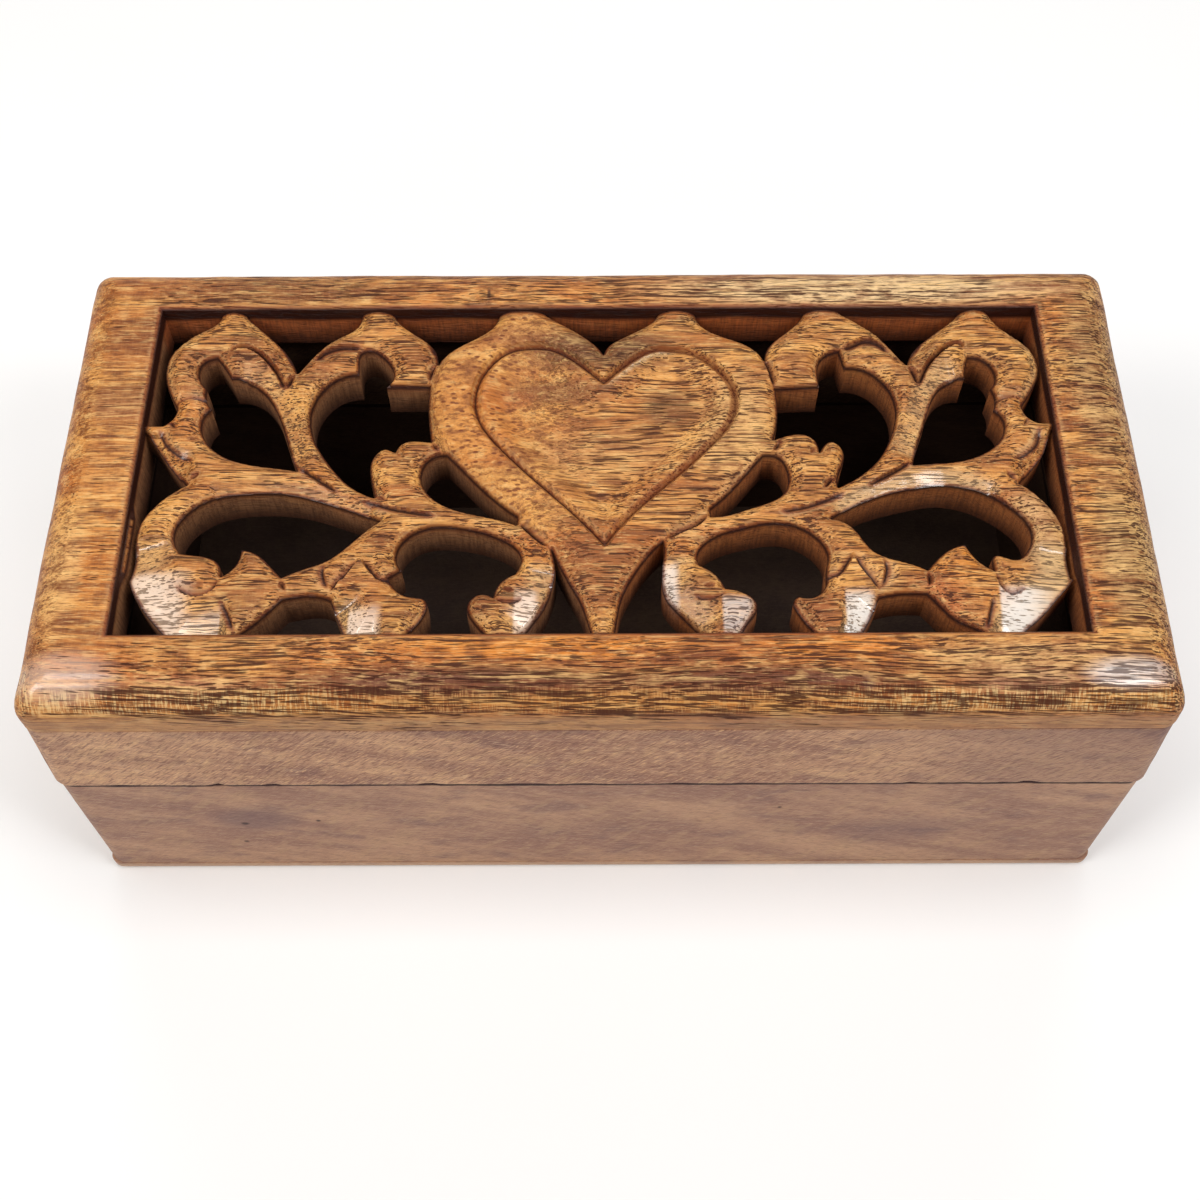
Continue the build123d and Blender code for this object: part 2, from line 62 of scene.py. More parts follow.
BULLNOSE_IN = 7.2
BULLNOSE_DOWN = 6.2
CARVING_DROP = 1.2
HEART_FLOOR_DROP = 2.2
BOARD_ROUND = 3
CORNER_ROUND = 3.4
ARRIS = 0.35
CARVING_GRID = 0.46
OUTLINE_STEP = 0.42
CURVE_STEP = 0.5
FRAME_GRID = 1.5
ROW_STEP = 0.866
WALL_ROWS = 6
NEAR = 1e-3

# Depth and width of a carved edge's worn corner and of the soft crown behind it
WORN_DEPTH, WORN_WIDTH = 0.5, 0.3
CROWN_DEPTH, CROWN_WIDTH = 1.2, 3.6

# The groove round the heart, the rise beside it, the slope of its field and the scallops on that slope
GROOVE_DEPTH, GROOVE_INSIDE, GROOVE_OUTSIDE = 1.5, 1.5, 0.9
RISE_DEPTH, FIELD_DEPTH = 0.35, 1.5
SCALLOP_DEPTH, SCALLOP_PITCH = 0.3, 1.9

# A cut narrower than this on its steep side is a plain step, without a row of corners of its own
STEEP = 0.32
CUT_FADE = 2.5

# Each cut of the knife, on the left half: its depth at the path, how far it slopes up again to the
# left and to the right of the path's direction, how brightly it is polished and painted pale as a
# highlight, and how brightly on the right half, then its path. A polish left out is none, or the
# same as on the left.
CUTS = [
    # lower loop: outer band, broad front facet, curl, second facet
    ((1.2, 2.5, 0.3), [(-73.8, -1.9), (-77.3, -4.5), (-79.6, -7.4), (-81.1, -10.4), (-81.3, -14.5)]),
    ((2.7, 8.6, 0.3, 1), [(-81.2, -13), (-81.2, -17.5), (-81.6, -21.5), (-78.8, -26.7), (-76.8, -29.1),
      (-74.5, -31.6), (-72.5, -33.4), (-66, -33.8), (-62.3, -33.8)]),
    ((1.7, 3.6, 0.45), [(-73.6, -22.6), (-71.6, -24.2), (-69.2, -24.9), (-67, -24.1), (-65.6, -21.2)]),
    ((0.9, 0.5, 4, 0.2), [(-65.4, -25.4), (-63.4, -29), (-61.8, -33)]),
    # lobe of the lower loop: right flank, tip
    ((1.3, 0.3, 1.8), [(-54.6, -25.7), (-56.4, -27.8), (-58.5, -30), (-60.8, -32.1), (-62.6, -33.6)]),
    ((1, 0.3, 1.8, 0.1), [(-62.4, -15.8), (-59.7, -16.7), (-57, -19.2), (-55.2, -21.4)]),
    # short stem between the lobes
    ((1.3, 0.8, 0.8, 0.3), [(-55.2, -21.2), (-54.5, -23.6), (-53.2, -25)]),
    ((1.2, 1.7, 0.3), [(-54.4, -25.7), (-52.2, -25.2), (-49.3, -24.9), (-46.4, -25.7)]),
    ((0.9, 0.5, 2.6, 0.3), [(-47.6, -18.2), (-47.9, -21.2), (-46.4, -24.8)]),
    # second lobe: front flank, crest on each side of its peak, right flank
    ((2.7, 6.2, 0.3, 1), [(-46.4, -25.6), (-45.3, -28.2), (-43, -33.6), (-39, -34), (-36, -33.8)]),
    ((1.4, 2.8, 0.4, 0.1), [(-41.7, -17.4), (-40.4, -19.2), (-38.4, -21.7), (-36.2, -22.5), (-33.6, -25)]),
    ((1.2, 0.4, 2.2, 0.2), [(-41.9, -17.6), (-43.6, -20.6), (-45.4, -22.8), (-46.6, -25.2)]),
    ((1.7, 0.3, 2.6, 0.1), [(-30.6, -25.2), (-29.6, -26.2), (-29.7, -27.8), (-30.5, -29.6), (-31.7, -31.3),
      (-33.6, -33.5)]),
    # second loop: slot side, broad flank, steep flank, curl and its eye
    ((0.9, 1.3, 0.3), [(-18.3, -25.2), (-21, -24.6), (-22.7, -26.6), (-22.6, -28.2), (-21.5, -30),
      (-20.3, -31.6), (-18.8, -33.5)]),
    ((2, 0.3, 6.4, 1, 0.4), [(-7.7, -18.4), (-7.8, -21.5), (-8.4, -24), (-9.2, -26.4), (-10.7, -28.9),
      (-12.3, -31.2), (-14.2, -33.5)]),
    ((3, 0.3, 2), [(-7.8, -21.5), (-8.4, -24), (-9.2, -26.4), (-10.7, -28.9), (-12.3, -31.2),
      (-14.2, -33.5)]),
    ((1.4, 2.4, 0.4), [(-18.4, -25.4), (-16.5, -26.5), (-14.2, -26.3), (-12.6, -24.9)]),
    ((1.2, 0.7, 0.4), [(-17.2, -23.4), (-15.5, -24.4), (-13.8, -24.3)]),
    # between the heart and the second loop, and the heart's lower edge
    ((1.8, 1.9, 0.7, 0.2), [(-14.6, -9.8), (-12.6, -12.2), (-10.6, -14.2), (-8.3, -16.2)]),
    ((0.8, 1, 0.3, 0.3), [(-27.6, 4.3), (-22.8, -1), (-17.5, -6.5), (-14.6, -8.9)]),
    # third leaf: crease at its foot, notch, flank beside the eye, root against the heart
    ((1.3, 1.1, 0.6, 0.2), [(-40.3, -4.6), (-39, -5.4), (-37.2, -6.2)]),
    ((1.3, 0.5, 0.9, 0.2), [(-37, 5.3), (-36.3, 4), (-35.4, 2.6)]),
    ((1, 0.3, 1.3), [(-28.6, 4.3), (-31, 3), (-32, -0.5), (-30.9, -3.5)]),
    ((1.3, 0.5, 1.3, 0.1), [(-30.7, 7.3), (-29.7, 5.6), (-28, 4.2)]),
    # upper centre loop: root against the heart, crotch, outer flanks, curl lip, cut end
    ((1.5, 0.5, 1.5, 0.3), [(-30.1, 25), (-31.2, 22.2), (-31.5, 19.6)]),
    ((1.5, 1.2, 1, 0.1), [(-56.4, 23), (-57.5, 20.4), (-57.9, 18)]),
    ((1.3, 0.3, 2.5, 0.1), [(-56.2, 23.2), (-54, 26.6), (-50.6, 30.4), (-46.4, 33.4)]),
    ((1.2, 0.3, 2.2, 0.1), [(-36.6, 33.4), (-32.5, 30.1), (-30.2, 25.2)]),
    ((1.4, 0.7, 3.2, 0.2), [(-53.6, 24.4), (-51.6, 27.2), (-48.6, 28.3), (-45.6, 28.2), (-43.4, 28)]),
    ((1.3, 1.5, 0.3), [(-39.6, 19.6), (-35.5, 19.6), (-31.5, 19.6)]),
    # upper loop: crease along its strand, broad inner facet, steep inner facet, outer flanks
    ((1.5, 0.8, 0.5), [(-70, 26.8), (-67.4, 28.4), (-64.2, 27.2), (-61, 23.8), (-59.2, 20.8), (-57.9, 18)]),
    ((2.2, 0.3, 5.6, 0.35, 0.6), [(-54.4, 0.8), (-56, 4.9), (-58.1, 11.2), (-60.4, 16.4), (-63.9, 20.4),
      (-68.6, 21.7)]),
    ((2.9, 0.3, 1.6), [(-55.4, 3), (-58.1, 11.2), (-60.4, 16.4), (-63.9, 20.4), (-67.6, 21.6)]),
    ((1.4, 2.5, 0.3, 0.4), [(-73.9, 33.6), (-76.5, 32.2), (-78.3, 30.7), (-80.1, 28.6), (-81.2, 23.6),
      (-80, 19), (-77.8, 14.8)]),
    ((1.4, 0.3, 2.6), [(-64.4, 33.6), (-60.2, 29.2), (-56.5, 23)]),
    # where the upper loop ends on the side leaf
    ((1.6, 2.4, 0.5, 0.2), [(-78.1, 14.8), (-76.9, 16.2), (-75.2, 16.7), (-73.4, 16.3), (-71.8, 14.9)]),
    # side leaf: outer flank, lip, tooth, root
    ((2.6, 3.6, 0.3, 0.1), [(-82.6, 8.9), (-81.2, 7.4), (-79.4, 4.7), (-76.9, 1.4), (-74.2, -1.8)]),
    ((1.1, 2.2, 0.35, 0.6), [(-80.6, 10.2), (-78.8, 6.6), (-75.8, 3.8), (-72.4, 2.4)]),
    ((1.2, 0.4, 1.3, 0.3), [(-79.4, 12.2), (-78, 10.6), (-76.4, 9)]),
    ((1.2, 0.9, 0.9), [(-74.1, -1.9), (-72.6, -0.7), (-71.4, 0.9)]),
    # long strands: pale front facet, crease between them
    ((1.9, 3.8, 0.3, 0.25, 0.9), [(-70, -5.8), (-62, -3.7), (-54, -4.2), (-46.2, -6.7), (-38.9, -9.6)]),
    ((1.1, 0.4, 1.8, 0.5), [(-54.8, 1.8), (-52.2, -0.2), (-49.2, -2.3), (-45.6, -4.6)]),
    ((0.7, 0.5, 1.6, 0.3), [(-43, -5.6), (-38, -7.4), (-33, -8.6), (-28, -9.4)]),
    # tail of the heart
    ((1.4, 1.6, 0.3), [(-8.3, -16), (-7.2, -18.4), (-5.6, -21.9), (-3.6, -25.7), (-2.3, -29.2),
      (-1.3, -33.6)]),
]

# The paths are drawn on a sheet with this opening, and carried to the real one
SHEET_LOW, SHEET_HIGH = (-83, -33.3), (83, 36.4)

# ---- smooth noise


def lattice(i, j, seed):
    """A repeatable number from 0 to 1 for each whole-number pair: the sine hash."""
    value = np.sin(i * 127.1 + j * 311.7 + seed * 74.7) * 43758.5453
    return value - np.floor(value)


def ripple(x, y, size, seed):
    """Value noise from -1 to 1: lattice numbers blended with 3t^2 - 2t^3 over cells of one size."""
    u, v = x / size, y / size
    i, j = np.floor(u), np.floor(v)
    s, t = u - i, v - j
    s, t = s * s * (3 - 2 * s), t * t * (3 - 2 * t)
    low = lattice(i, j, seed) * (1 - s) + lattice(i + 1, j, seed) * s
    high = lattice(i, j + 1, seed) * (1 - s) + lattice(i + 1, j + 1, seed) * s
    return 2 * (low * (1 - t) + high * t) - 1


def smooth(low, high, value):
    """0 below low, 1 above high, and 3t^2 - 2t^3 between."""
    t = np.clip((value - low) / (high - low), 0, 1)
    return t * t * (3 - 2 * t)


# ---- lines and outlines


def closed(outline):
    """An outline with its first point again at its end."""
    return np.vstack([outline, outline[:1]])


def lengths(line):
    """The length of each step of a line."""
    return np.hypot(*np.diff(line, axis=0).T)


def divided(line, count, whole=True):
    """A line at so many equal steps along it, with or without its last point."""
    run = np.append(0, np.cumsum(lengths(line)))
    places = np.linspace(0, run[-1], count, endpoint=whole)
    return np.column_stack([np.interp(places, run, line[:, axis]) for axis in (0, 1)])


def coded(edges, count):
    """One number for each directed edge."""
    return edges[:, 0] * count + edges[:, 1]


def lone_edges(triangles, count):
    """The directed edges that no other triangle uses the opposite way."""
    edges = np.concatenate([triangles[:, [0, 1]], triangles[:, [1, 2]], triangles[:, [2, 0]]])
    return edges[~np.isin(coded(edges, count), coded(edges[:, ::-1], count))]


def merged(node):
    """A node's corners in millimetres with doubles joined, and its triangles."""
    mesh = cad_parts[node].data
    mesh.calc_loop_triangles()
    corners = np.empty(3 * len(mesh.vertices), np.float32)
    mesh.vertices.foreach_get("co", corners)
    triangles = np.empty(3 * len(mesh.loop_triangles), np.int32)
    mesh.loop_triangles.foreach_get("vertices", triangles)
    corners = corners.reshape(-1, 3).astype(float) / MM
    keys = np.round(corners * 1000).astype(np.int64)
    _, first, joined = np.unique(keys, axis=0, return_index=True, return_inverse=True)
    return corners[first], joined.ravel()[triangles].reshape(-1, 3)


def rims(corners, triangles, height):
    """The outlines of the flat region at one height, each a closed run of points in order.

    Each rim corner points to the next, and repeated doubling of that pointer gives every corner
    its outline and its place in it.
    """
    count = len(corners)
    flat = triangles[np.all(np.abs(corners[triangles][:, :, 2] - height) < 0.01, axis=1)]
    edges = lone_edges(flat, count)
    follow = np.arange(count)
    follow[edges[:, 0]] = edges[:, 1]
    rounds = int(np.ceil(np.log2(count)))
    label, jump = np.arange(count), follow.copy()
    for _ in range(rounds):
        label = np.minimum(label, label[jump])
        jump = jump[jump]
    members = edges[:, 0]
    starts = np.unique(label[members])
    jump = follow.copy()
    jump[starts] = starts
    steps = (jump != np.arange(count)).astype(int)
    for _ in range(rounds):
        steps = steps + steps[jump]
        jump = jump[jump]
    outlines = [members[label[members] == start] for start in starts]
    return [corners[mine[np.argsort(-steps[mine])], :2] for mine in outlines]


def evened(outline, spacing):
    """A closed outline at an even spacing: its sharp corners kept, the stretches between smoothed."""
    ahead = np.roll(outline, -1, 0) - outline
    heading = np.arctan2(ahead[:, 1], ahead[:, 0])
    turn = heading - np.roll(heading, 1)
    turn = np.abs((turn + np.pi) % (2 * np.pi) - np.pi)
    sharp = np.flatnonzero(turn > np.radians(33))
    if not len(sharp):
        sharp = np.array([0])
    whole = closed(np.roll(outline, -sharp[0], 0))
    sharp = np.append(sharp - sharp[0], len(outline))
    stretches = []
    for start, end in zip(sharp[:-1], sharp[1:]):
        piece = whole[start:end + 1]
        piece = divided(piece, max(2, int(np.ceil(lengths(piece).sum() / spacing)) + 1))
        for _ in range(3):
            piece[1:-1] = (piece[:-2] + 2 * piece[1:-1] + piece[2:]) / 4
        stretches.append(piece[:-1])
    return np.vstack(stretches)


def curved(path):
    """An open smooth curve through the path's points: Catmull-Rom, evenly divided."""
    ends = np.vstack([2 * path[0] - path[1], path, 2 * path[-1] - path[-2]])
    p0, p1, p2, p3 = (ends[k:len(ends) - 3 + k, None] for k in range(4))
    t = np.linspace(0, 1, 12, endpoint=False)[None, :, None]
    blend = (
        2 * p1 + (p2 - p0) * t + (2 * p0 - 5 * p1 + 4 * p2 - p3) * t ** 2
        + (3 * p1 - p0 - 3 * p2 + p3) * t ** 3
    ) / 2
    line = np.vstack([blend.reshape(-1, 2), path[-1]])
    return divided(line, max(3, int(lengths(line).sum() / CURVE_STEP) + 1))


def on_board(path, opening):
    """A path's points carried from the sheet to the board's opening."""
    low, high = opening
    share = (np.array(path, float) - SHEET_LOW) / np.subtract(SHEET_HIGH, SHEET_LOW)
    return low + share * (high - low)


def wandering(holes):
    """Places on the left half and how far the right half wanders from their mirror image.

    Each left outline is paired with the mirrored right outline whose centre is nearest. Both are
    divided into equal steps, and the start that brings the two nearest is taken.
    """
    steps = 160
    left = [hole for hole in holes if hole[:, 0].max() < 0]
    right = [(hole * (-1, 1))[::-1] for hole in holes if hole[:, 0].min() > 2]
    centres = np.array([hole.mean(0) for hole in right])
    places, moves = [], []
    for hole in left:
        twin = divided(closed(right[np.hypot(*(centres - hole.mean(0)).T).argmin()]), steps, False)
        ring = divided(closed(hole), steps, False)
        turned = np.array([np.roll(twin, -start, 0) for start in range(steps)])
        places.append(ring)
        moves.append(turned[((turned - ring) ** 2).sum((1, 2)).argmin()] - ring)
    return np.vstack(places), np.vstack(moves)


def wandered(path, places, moves):
    """A path moved as the places near it are: weights fall with the fourth power of distance."""
    gap = ((path[:, None] - places) ** 2).sum(2)
    weight = 1 / (gap + 0.3) ** 2
    return path + (weight @ moves) / weight.sum(1)[:, None]


def boxed(points, low, high):
    """Which points lie between two corners."""
    return np.all((points > low) & (points < high), axis=1)


def inside(outline, points):
    """Which points an outline holds, by counting the edges to the right of each."""
    held = np.zeros(len(points), bool)
    near = np.flatnonzero(boxed(points, outline.min(0), outline.max(0)))
    x, y = points[near, 0][:, None], points[near, 1][:, None]
    x0, y0 = outline.T
    x1, y1 = np.roll(outline, -1, 0).T
    spans = (y0 > y) != (y1 > y)
    rise = np.where(y1 == y0, 1, y1 - y0)
    held[near] = (spans & (x < (x1 - x0) * (y - y0) / rise + x0)).sum(1) % 2 == 1
    return held


def in_any(outlines, points):
    """Which points one of several outlines holds."""
    return np.any([inside(outline, points) for outline in outlines], axis=0)


def beside(line, points, reach):
    """For each point within reach of a line: the distance, which side it is on and how far along.

    The side is positive to the left of the line's direction. Points out of reach get reach.
    """
    gap = np.full(len(points), float(reach))
    side, along = np.zeros(len(points)), np.zeros(len(points))
    near = np.flatnonzero(boxed(points, line.min(0) - reach, line.max(0) + reach))
    start, step = line[:-1], np.diff(line, axis=0)
    length = np.maximum(lengths(line), 1e-9)
    run = np.append(0, np.cumsum(length))[:-1]
    for part in np.array_split(near, len(near) // 4000 + 1):
        offset = points[part][:, None] - start
        t = np.clip((offset * step).sum(2) / length ** 2, 0, 1)
        away = np.hypot(*np.moveaxis(offset - t[..., None] * step, 2, 0))
        best = away.argmin(1)
        row = np.arange(len(part))
        gap[part] = np.minimum(away[row, best], reach)
        side[part] = np.sign(step[best, 0] * offset[row, best, 1] - step[best, 1] * offset[row, best, 0])
        along[part] = run[best] + t[row, best] * length[best]
    return gap, side, along


def nearest(lines, points, reach):
    """The distance from each point to the nearest of several lines, up to reach."""
    return np.min([beside(line, points, reach)[0] for line in lines], axis=0)


# ---- meshes


def placed(name, data):
    """A new object for a mesh, a lamp or a camera, in the scene."""
    made = bpy.data.objects.new(name, data)
    bpy.context.scene.collection.objects.link(made)
    return made


def smoothed(name, mesh, crease):
    """A mesh's object, shaded smooth but for edges sharper than so many degrees."""
    mesh.polygons.foreach_set("use_smooth", np.ones(len(mesh.polygons), bool))
    mesh.set_sharp_from_angle(angle=np.radians(crease))
    return placed(name, mesh)


def surface(name, corners, quads, triangles, **marks):
    """A mesh object from corners in millimetres, four- and three-cornered faces and marks on corners."""
    mesh = bpy.data.meshes.new(name)
    mesh.vertices.add(len(corners))
    mesh.vertices.foreach_set("co", (corners * MM).astype(np.float32).ravel())
    loops = np.concatenate([quads.ravel(), triangles.ravel()]).astype(np.int32)
    mesh.loops.add(len(loops))
    mesh.loops.foreach_set("vertex_index", loops)
    starts = np.append(np.arange(len(quads)) * 4, 4 * len(quads) + np.arange(len(triangles)) * 3)
    mesh.polygons.add(len(starts))
    mesh.polygons.foreach_set("loop_start", starts.astype(np.int32))
    mesh.update(calc_edges=True)
    mesh.validate()
    for mark, values in marks.items():
        layer = mesh.attributes.new(mark, "FLOAT", "POINT")
        layer.data.foreach_set("value", values.astype(np.float32))
    return smoothed(name, mesh, 38)


def ladder_faces(ladder, first, second):
    """Four-cornered faces down the rows of a ladder of corners, between pairs of its columns."""
    return np.concatenate([
        np.column_stack([upper[first], lower[first], lower[second], upper[second]])
        for upper, lower in zip(ladder[:-1], ladder[1:])
    ])


# ---- the carved board


def board_ring(inset, height):
    """A rounded rectangle round the board, inset from its faces, at one height."""
    half = (BOARD_HIGH[:2] - BOARD_LOW[:2]) / 2 - inset
    radius = max(BOARD_ROUND - 0.4 * inset, 0.5)
    along_x, along_y = (np.linspace(-1, 1, steps, endpoint=False)[1:] for steps in (150, 72))
    turn = np.linspace(0, np.pi / 2, 7)
    flat = half - radius
    quarter = radius * np.stack([np.cos(turn), np.sin(turn)], 1)
    turns = [np.array([[0, 1], [-1, 0]]), np.eye(2), np.array([[0, -1], [1, 0]]), -np.eye(2)]
    signs = [(1, -1), (1, 1), (-1, 1), (-1, -1)]
    arcs = [quarter @ spin.T + flat * sign for spin, sign in zip(turns, signs)]
    right = np.stack([np.full(len(along_y), half[0]), along_y * flat[1]], 1)
    back = np.stack([-along_x * flat[0], np.full(len(along_x), half[1])], 1)
    ring = np.vstack([arcs[0], right, arcs[1], back, arcs[2], -right, arcs[3], -back]) + BOARD_MIDDLE
    return np.column_stack([ring, np.full(len(ring), height)])


def cut_lines(opening, holes):
    """Every cut on the board as (flip, line, depth, left, right, polish), on both halves; the polish is also
    painted pale as a highlight.

    The line is drawn on the left half, and flip carries it to its own.
    """
    places, moves = wandering(holes)
    lines = []
    for (deep, left, right, *cut_polish_and_highlight), path in CUTS:
        path = on_board(path, opening)
        cut_polish_and_highlight = cut_polish_and_highlight or [0]
        lines.append(((1, 1), curved(path), deep, left, right, cut_polish_and_highlight[0]))
        lines.append(((-1, 1), curved(wandered(path, places, moves)), deep, left, right, cut_polish_and_highlight[-1]))
    return lines


def carve(points, holes, heart, opening, cuts):
    """How deep the knife has gone below the sheet at each point of the carving, and three marks.

    Each cut is a slope from its depth at the path up to nothing at its width, fading out at the
    path's ends, and the deepest cut wins. Every edge is eased by an exponential plus a soft
    crown. The heart's field is a groove, a narrow rise and a long slope down to a level floor,
    with the gouge's scallops along the slope on each side of the notch. The marks are the dark
    along the rims and in the cuts, partly stain and partly painted shade; the polish on the
    facets, glossy and also painted pale as a highlight; and where the grain dips.
    """
    x, y = points.T
    edge = nearest([closed(hole) for hole in holes], points, CROWN_WIDTH + 0.2)
    hand = 1 + 0.22 * ripple(x, y, 9, 3)
    crown = CROWN_DEPTH * np.maximum(0, 1 - edge / CROWN_WIDTH) ** 2
    depth = hand * (WORN_DEPTH * np.exp(-edge / WORN_WIDTH) + crown)
    # Dark along every rim: partly stain, partly painted shade in the crease.
    stain = np.exp(-edge / 0.36)
    shine = np.zeros(len(points))
    for flip, line, deep, left, right, cut_polish_and_highlight in cuts:
        half = np.flatnonzero((x > 0) == (flip[0] < 0))
        gap, side, along = beside(line, points[half] * flip, max(left, right))
        fade = smooth(0, CUT_FADE, along) * smooth(0, CUT_FADE, lengths(line).sum() - along)
        width = np.where(side > 0, left, right)
        slope = np.maximum(0, 1 - gap / width)
        depth[half] = np.maximum(depth[half], deep * hand[half] * fade * slope)
        soft = 0.6 if min(left, right) > STEEP else 0.34
        # Dark in each cut: partly stain, partly painted shade in the crease.
        stain[half] = np.maximum(stain[half], fade * np.exp(-gap / soft) * (gap < width))
        # The facet's polish: glossy, and painted pale as a highlight.
        polished_and_highlit = cut_polish_and_highlight * fade * smooth(0.02, 0.6, slope) * (width > 0.6)
        shine[half] = np.maximum(shine[half], polished_and_highlit)
    gap, _, along = beside(closed(heart), points, 14)
    within = inside(heart, points)
    across = x - heart[:, 0].mean()
    groove = GROOVE_DEPTH * np.maximum(0, 1 - gap / np.where(within, GROOVE_INSIDE, GROOVE_OUTSIDE))
    by_notch = smooth(15.5, 17.5, y) * (1 - smooth(11, 14, np.abs(across)))
    scallop = SCALLOP_DEPTH * by_notch * np.abs(np.sin(np.pi * along / SCALLOP_PITCH))
    scallop *= smooth(0.4, 1.2, gap) * (1 - smooth(2.2, 3, gap))
    field = np.where(within, RISE_DEPTH + FIELD_DEPTH * smooth(0.9, 6.5, gap) + scallop, 0)
    depth = np.maximum(depth, np.maximum(groove, field))
    # Round the heart: a thin dark line, darker on the left, and a broad dark ring, broader on the right,
    # partly stain and partly painted shade as the light falls.
    rightward = smooth(-3, 6, across)
    ring = 1 - smooth(0.7, 1.5, np.where(within, gap, gap * 1.7))
    stain = np.maximum(stain, (0.85 - 0.25 * rightward) * np.exp(-gap / 0.26))
    stain = np.maximum(stain, (0.2 + 0.24 * rightward) * ring)
    # A pale lip right of the notch: polish with a painted highlight.
    lip = smooth(0.3, 0.8, gap) * (1 - smooth(1.3, 2.2, gap))
    shine = np.maximum(shine, 0.8 * within * by_notch * rightward * lip)
    depth = depth + 0.05 * ripple(x, y, 2.2, 5) + 0.07 * ripple(x, y, 6, 6)
    # Painted shade: a dark line along the opening's edge, where the carving drops below the frame.
    low, high = opening
    frame_gap = np.minimum(points - low, high - points).min(1)
    stain = np.maximum(stain, np.exp(-np.maximum(frame_gap, 0) / 0.5))
    dip = np.where(within, 1, 1 - smooth(7, 9.5, gap)) * (1 - smooth(-20, 4, x))
    return depth, np.clip(stain, 0, 1), shine, dip


def rectangle(low, high):
    """The four corners of a rectangle, anticlockwise."""
    return np.array([low, (high[0], low[1]), high, (low[0], high[1])])


def staggered(low, high, spacing):
    """Places between two corners, in rows of which every second is shifted by half a step."""
    x, y = np.meshgrid(
        np.arange(low[0], high[0], spacing), np.arange(low[1], high[1], spacing * ROW_STEP))
    x[1::2] += spacing / 2
    return np.column_stack([x.ravel(), y.ravel()])


def board_outlines():
    """The piercings' rims, the heart's outline and the opening's two corners.

    A rim's points that lie on the opening's edge are put exactly on it.
    """
    corners, triangles = merged("lid_carved_panel")
    outlines = rims(corners, triangles, UNDERSIDE)
    across = [np.ptp(outline, axis=0).max() for outline in outlines]
    holes = [evened(outline, OUTLINE_STEP) for outline, size in zip(outlines, across) if size < max(across)]
    heart = evened(max(rims(corners, triangles, TOP - HEART_FLOOR_DROP), key=len), OUTLINE_STEP)
    low, high = np.vstack(holes).min(0), np.vstack(holes).max(0)
    for hole in holes:
        for limit in (low, high):
            hole[:] = np.where(np.abs(hole - limit) < 0.02, limit, hole)
    return holes, heart, (low, high)


def unit(vectors):
    """Flat vectors brought to a length of one."""
    return vectors / np.maximum(np.hypot(*vectors.T), 1e-9)[:, None]


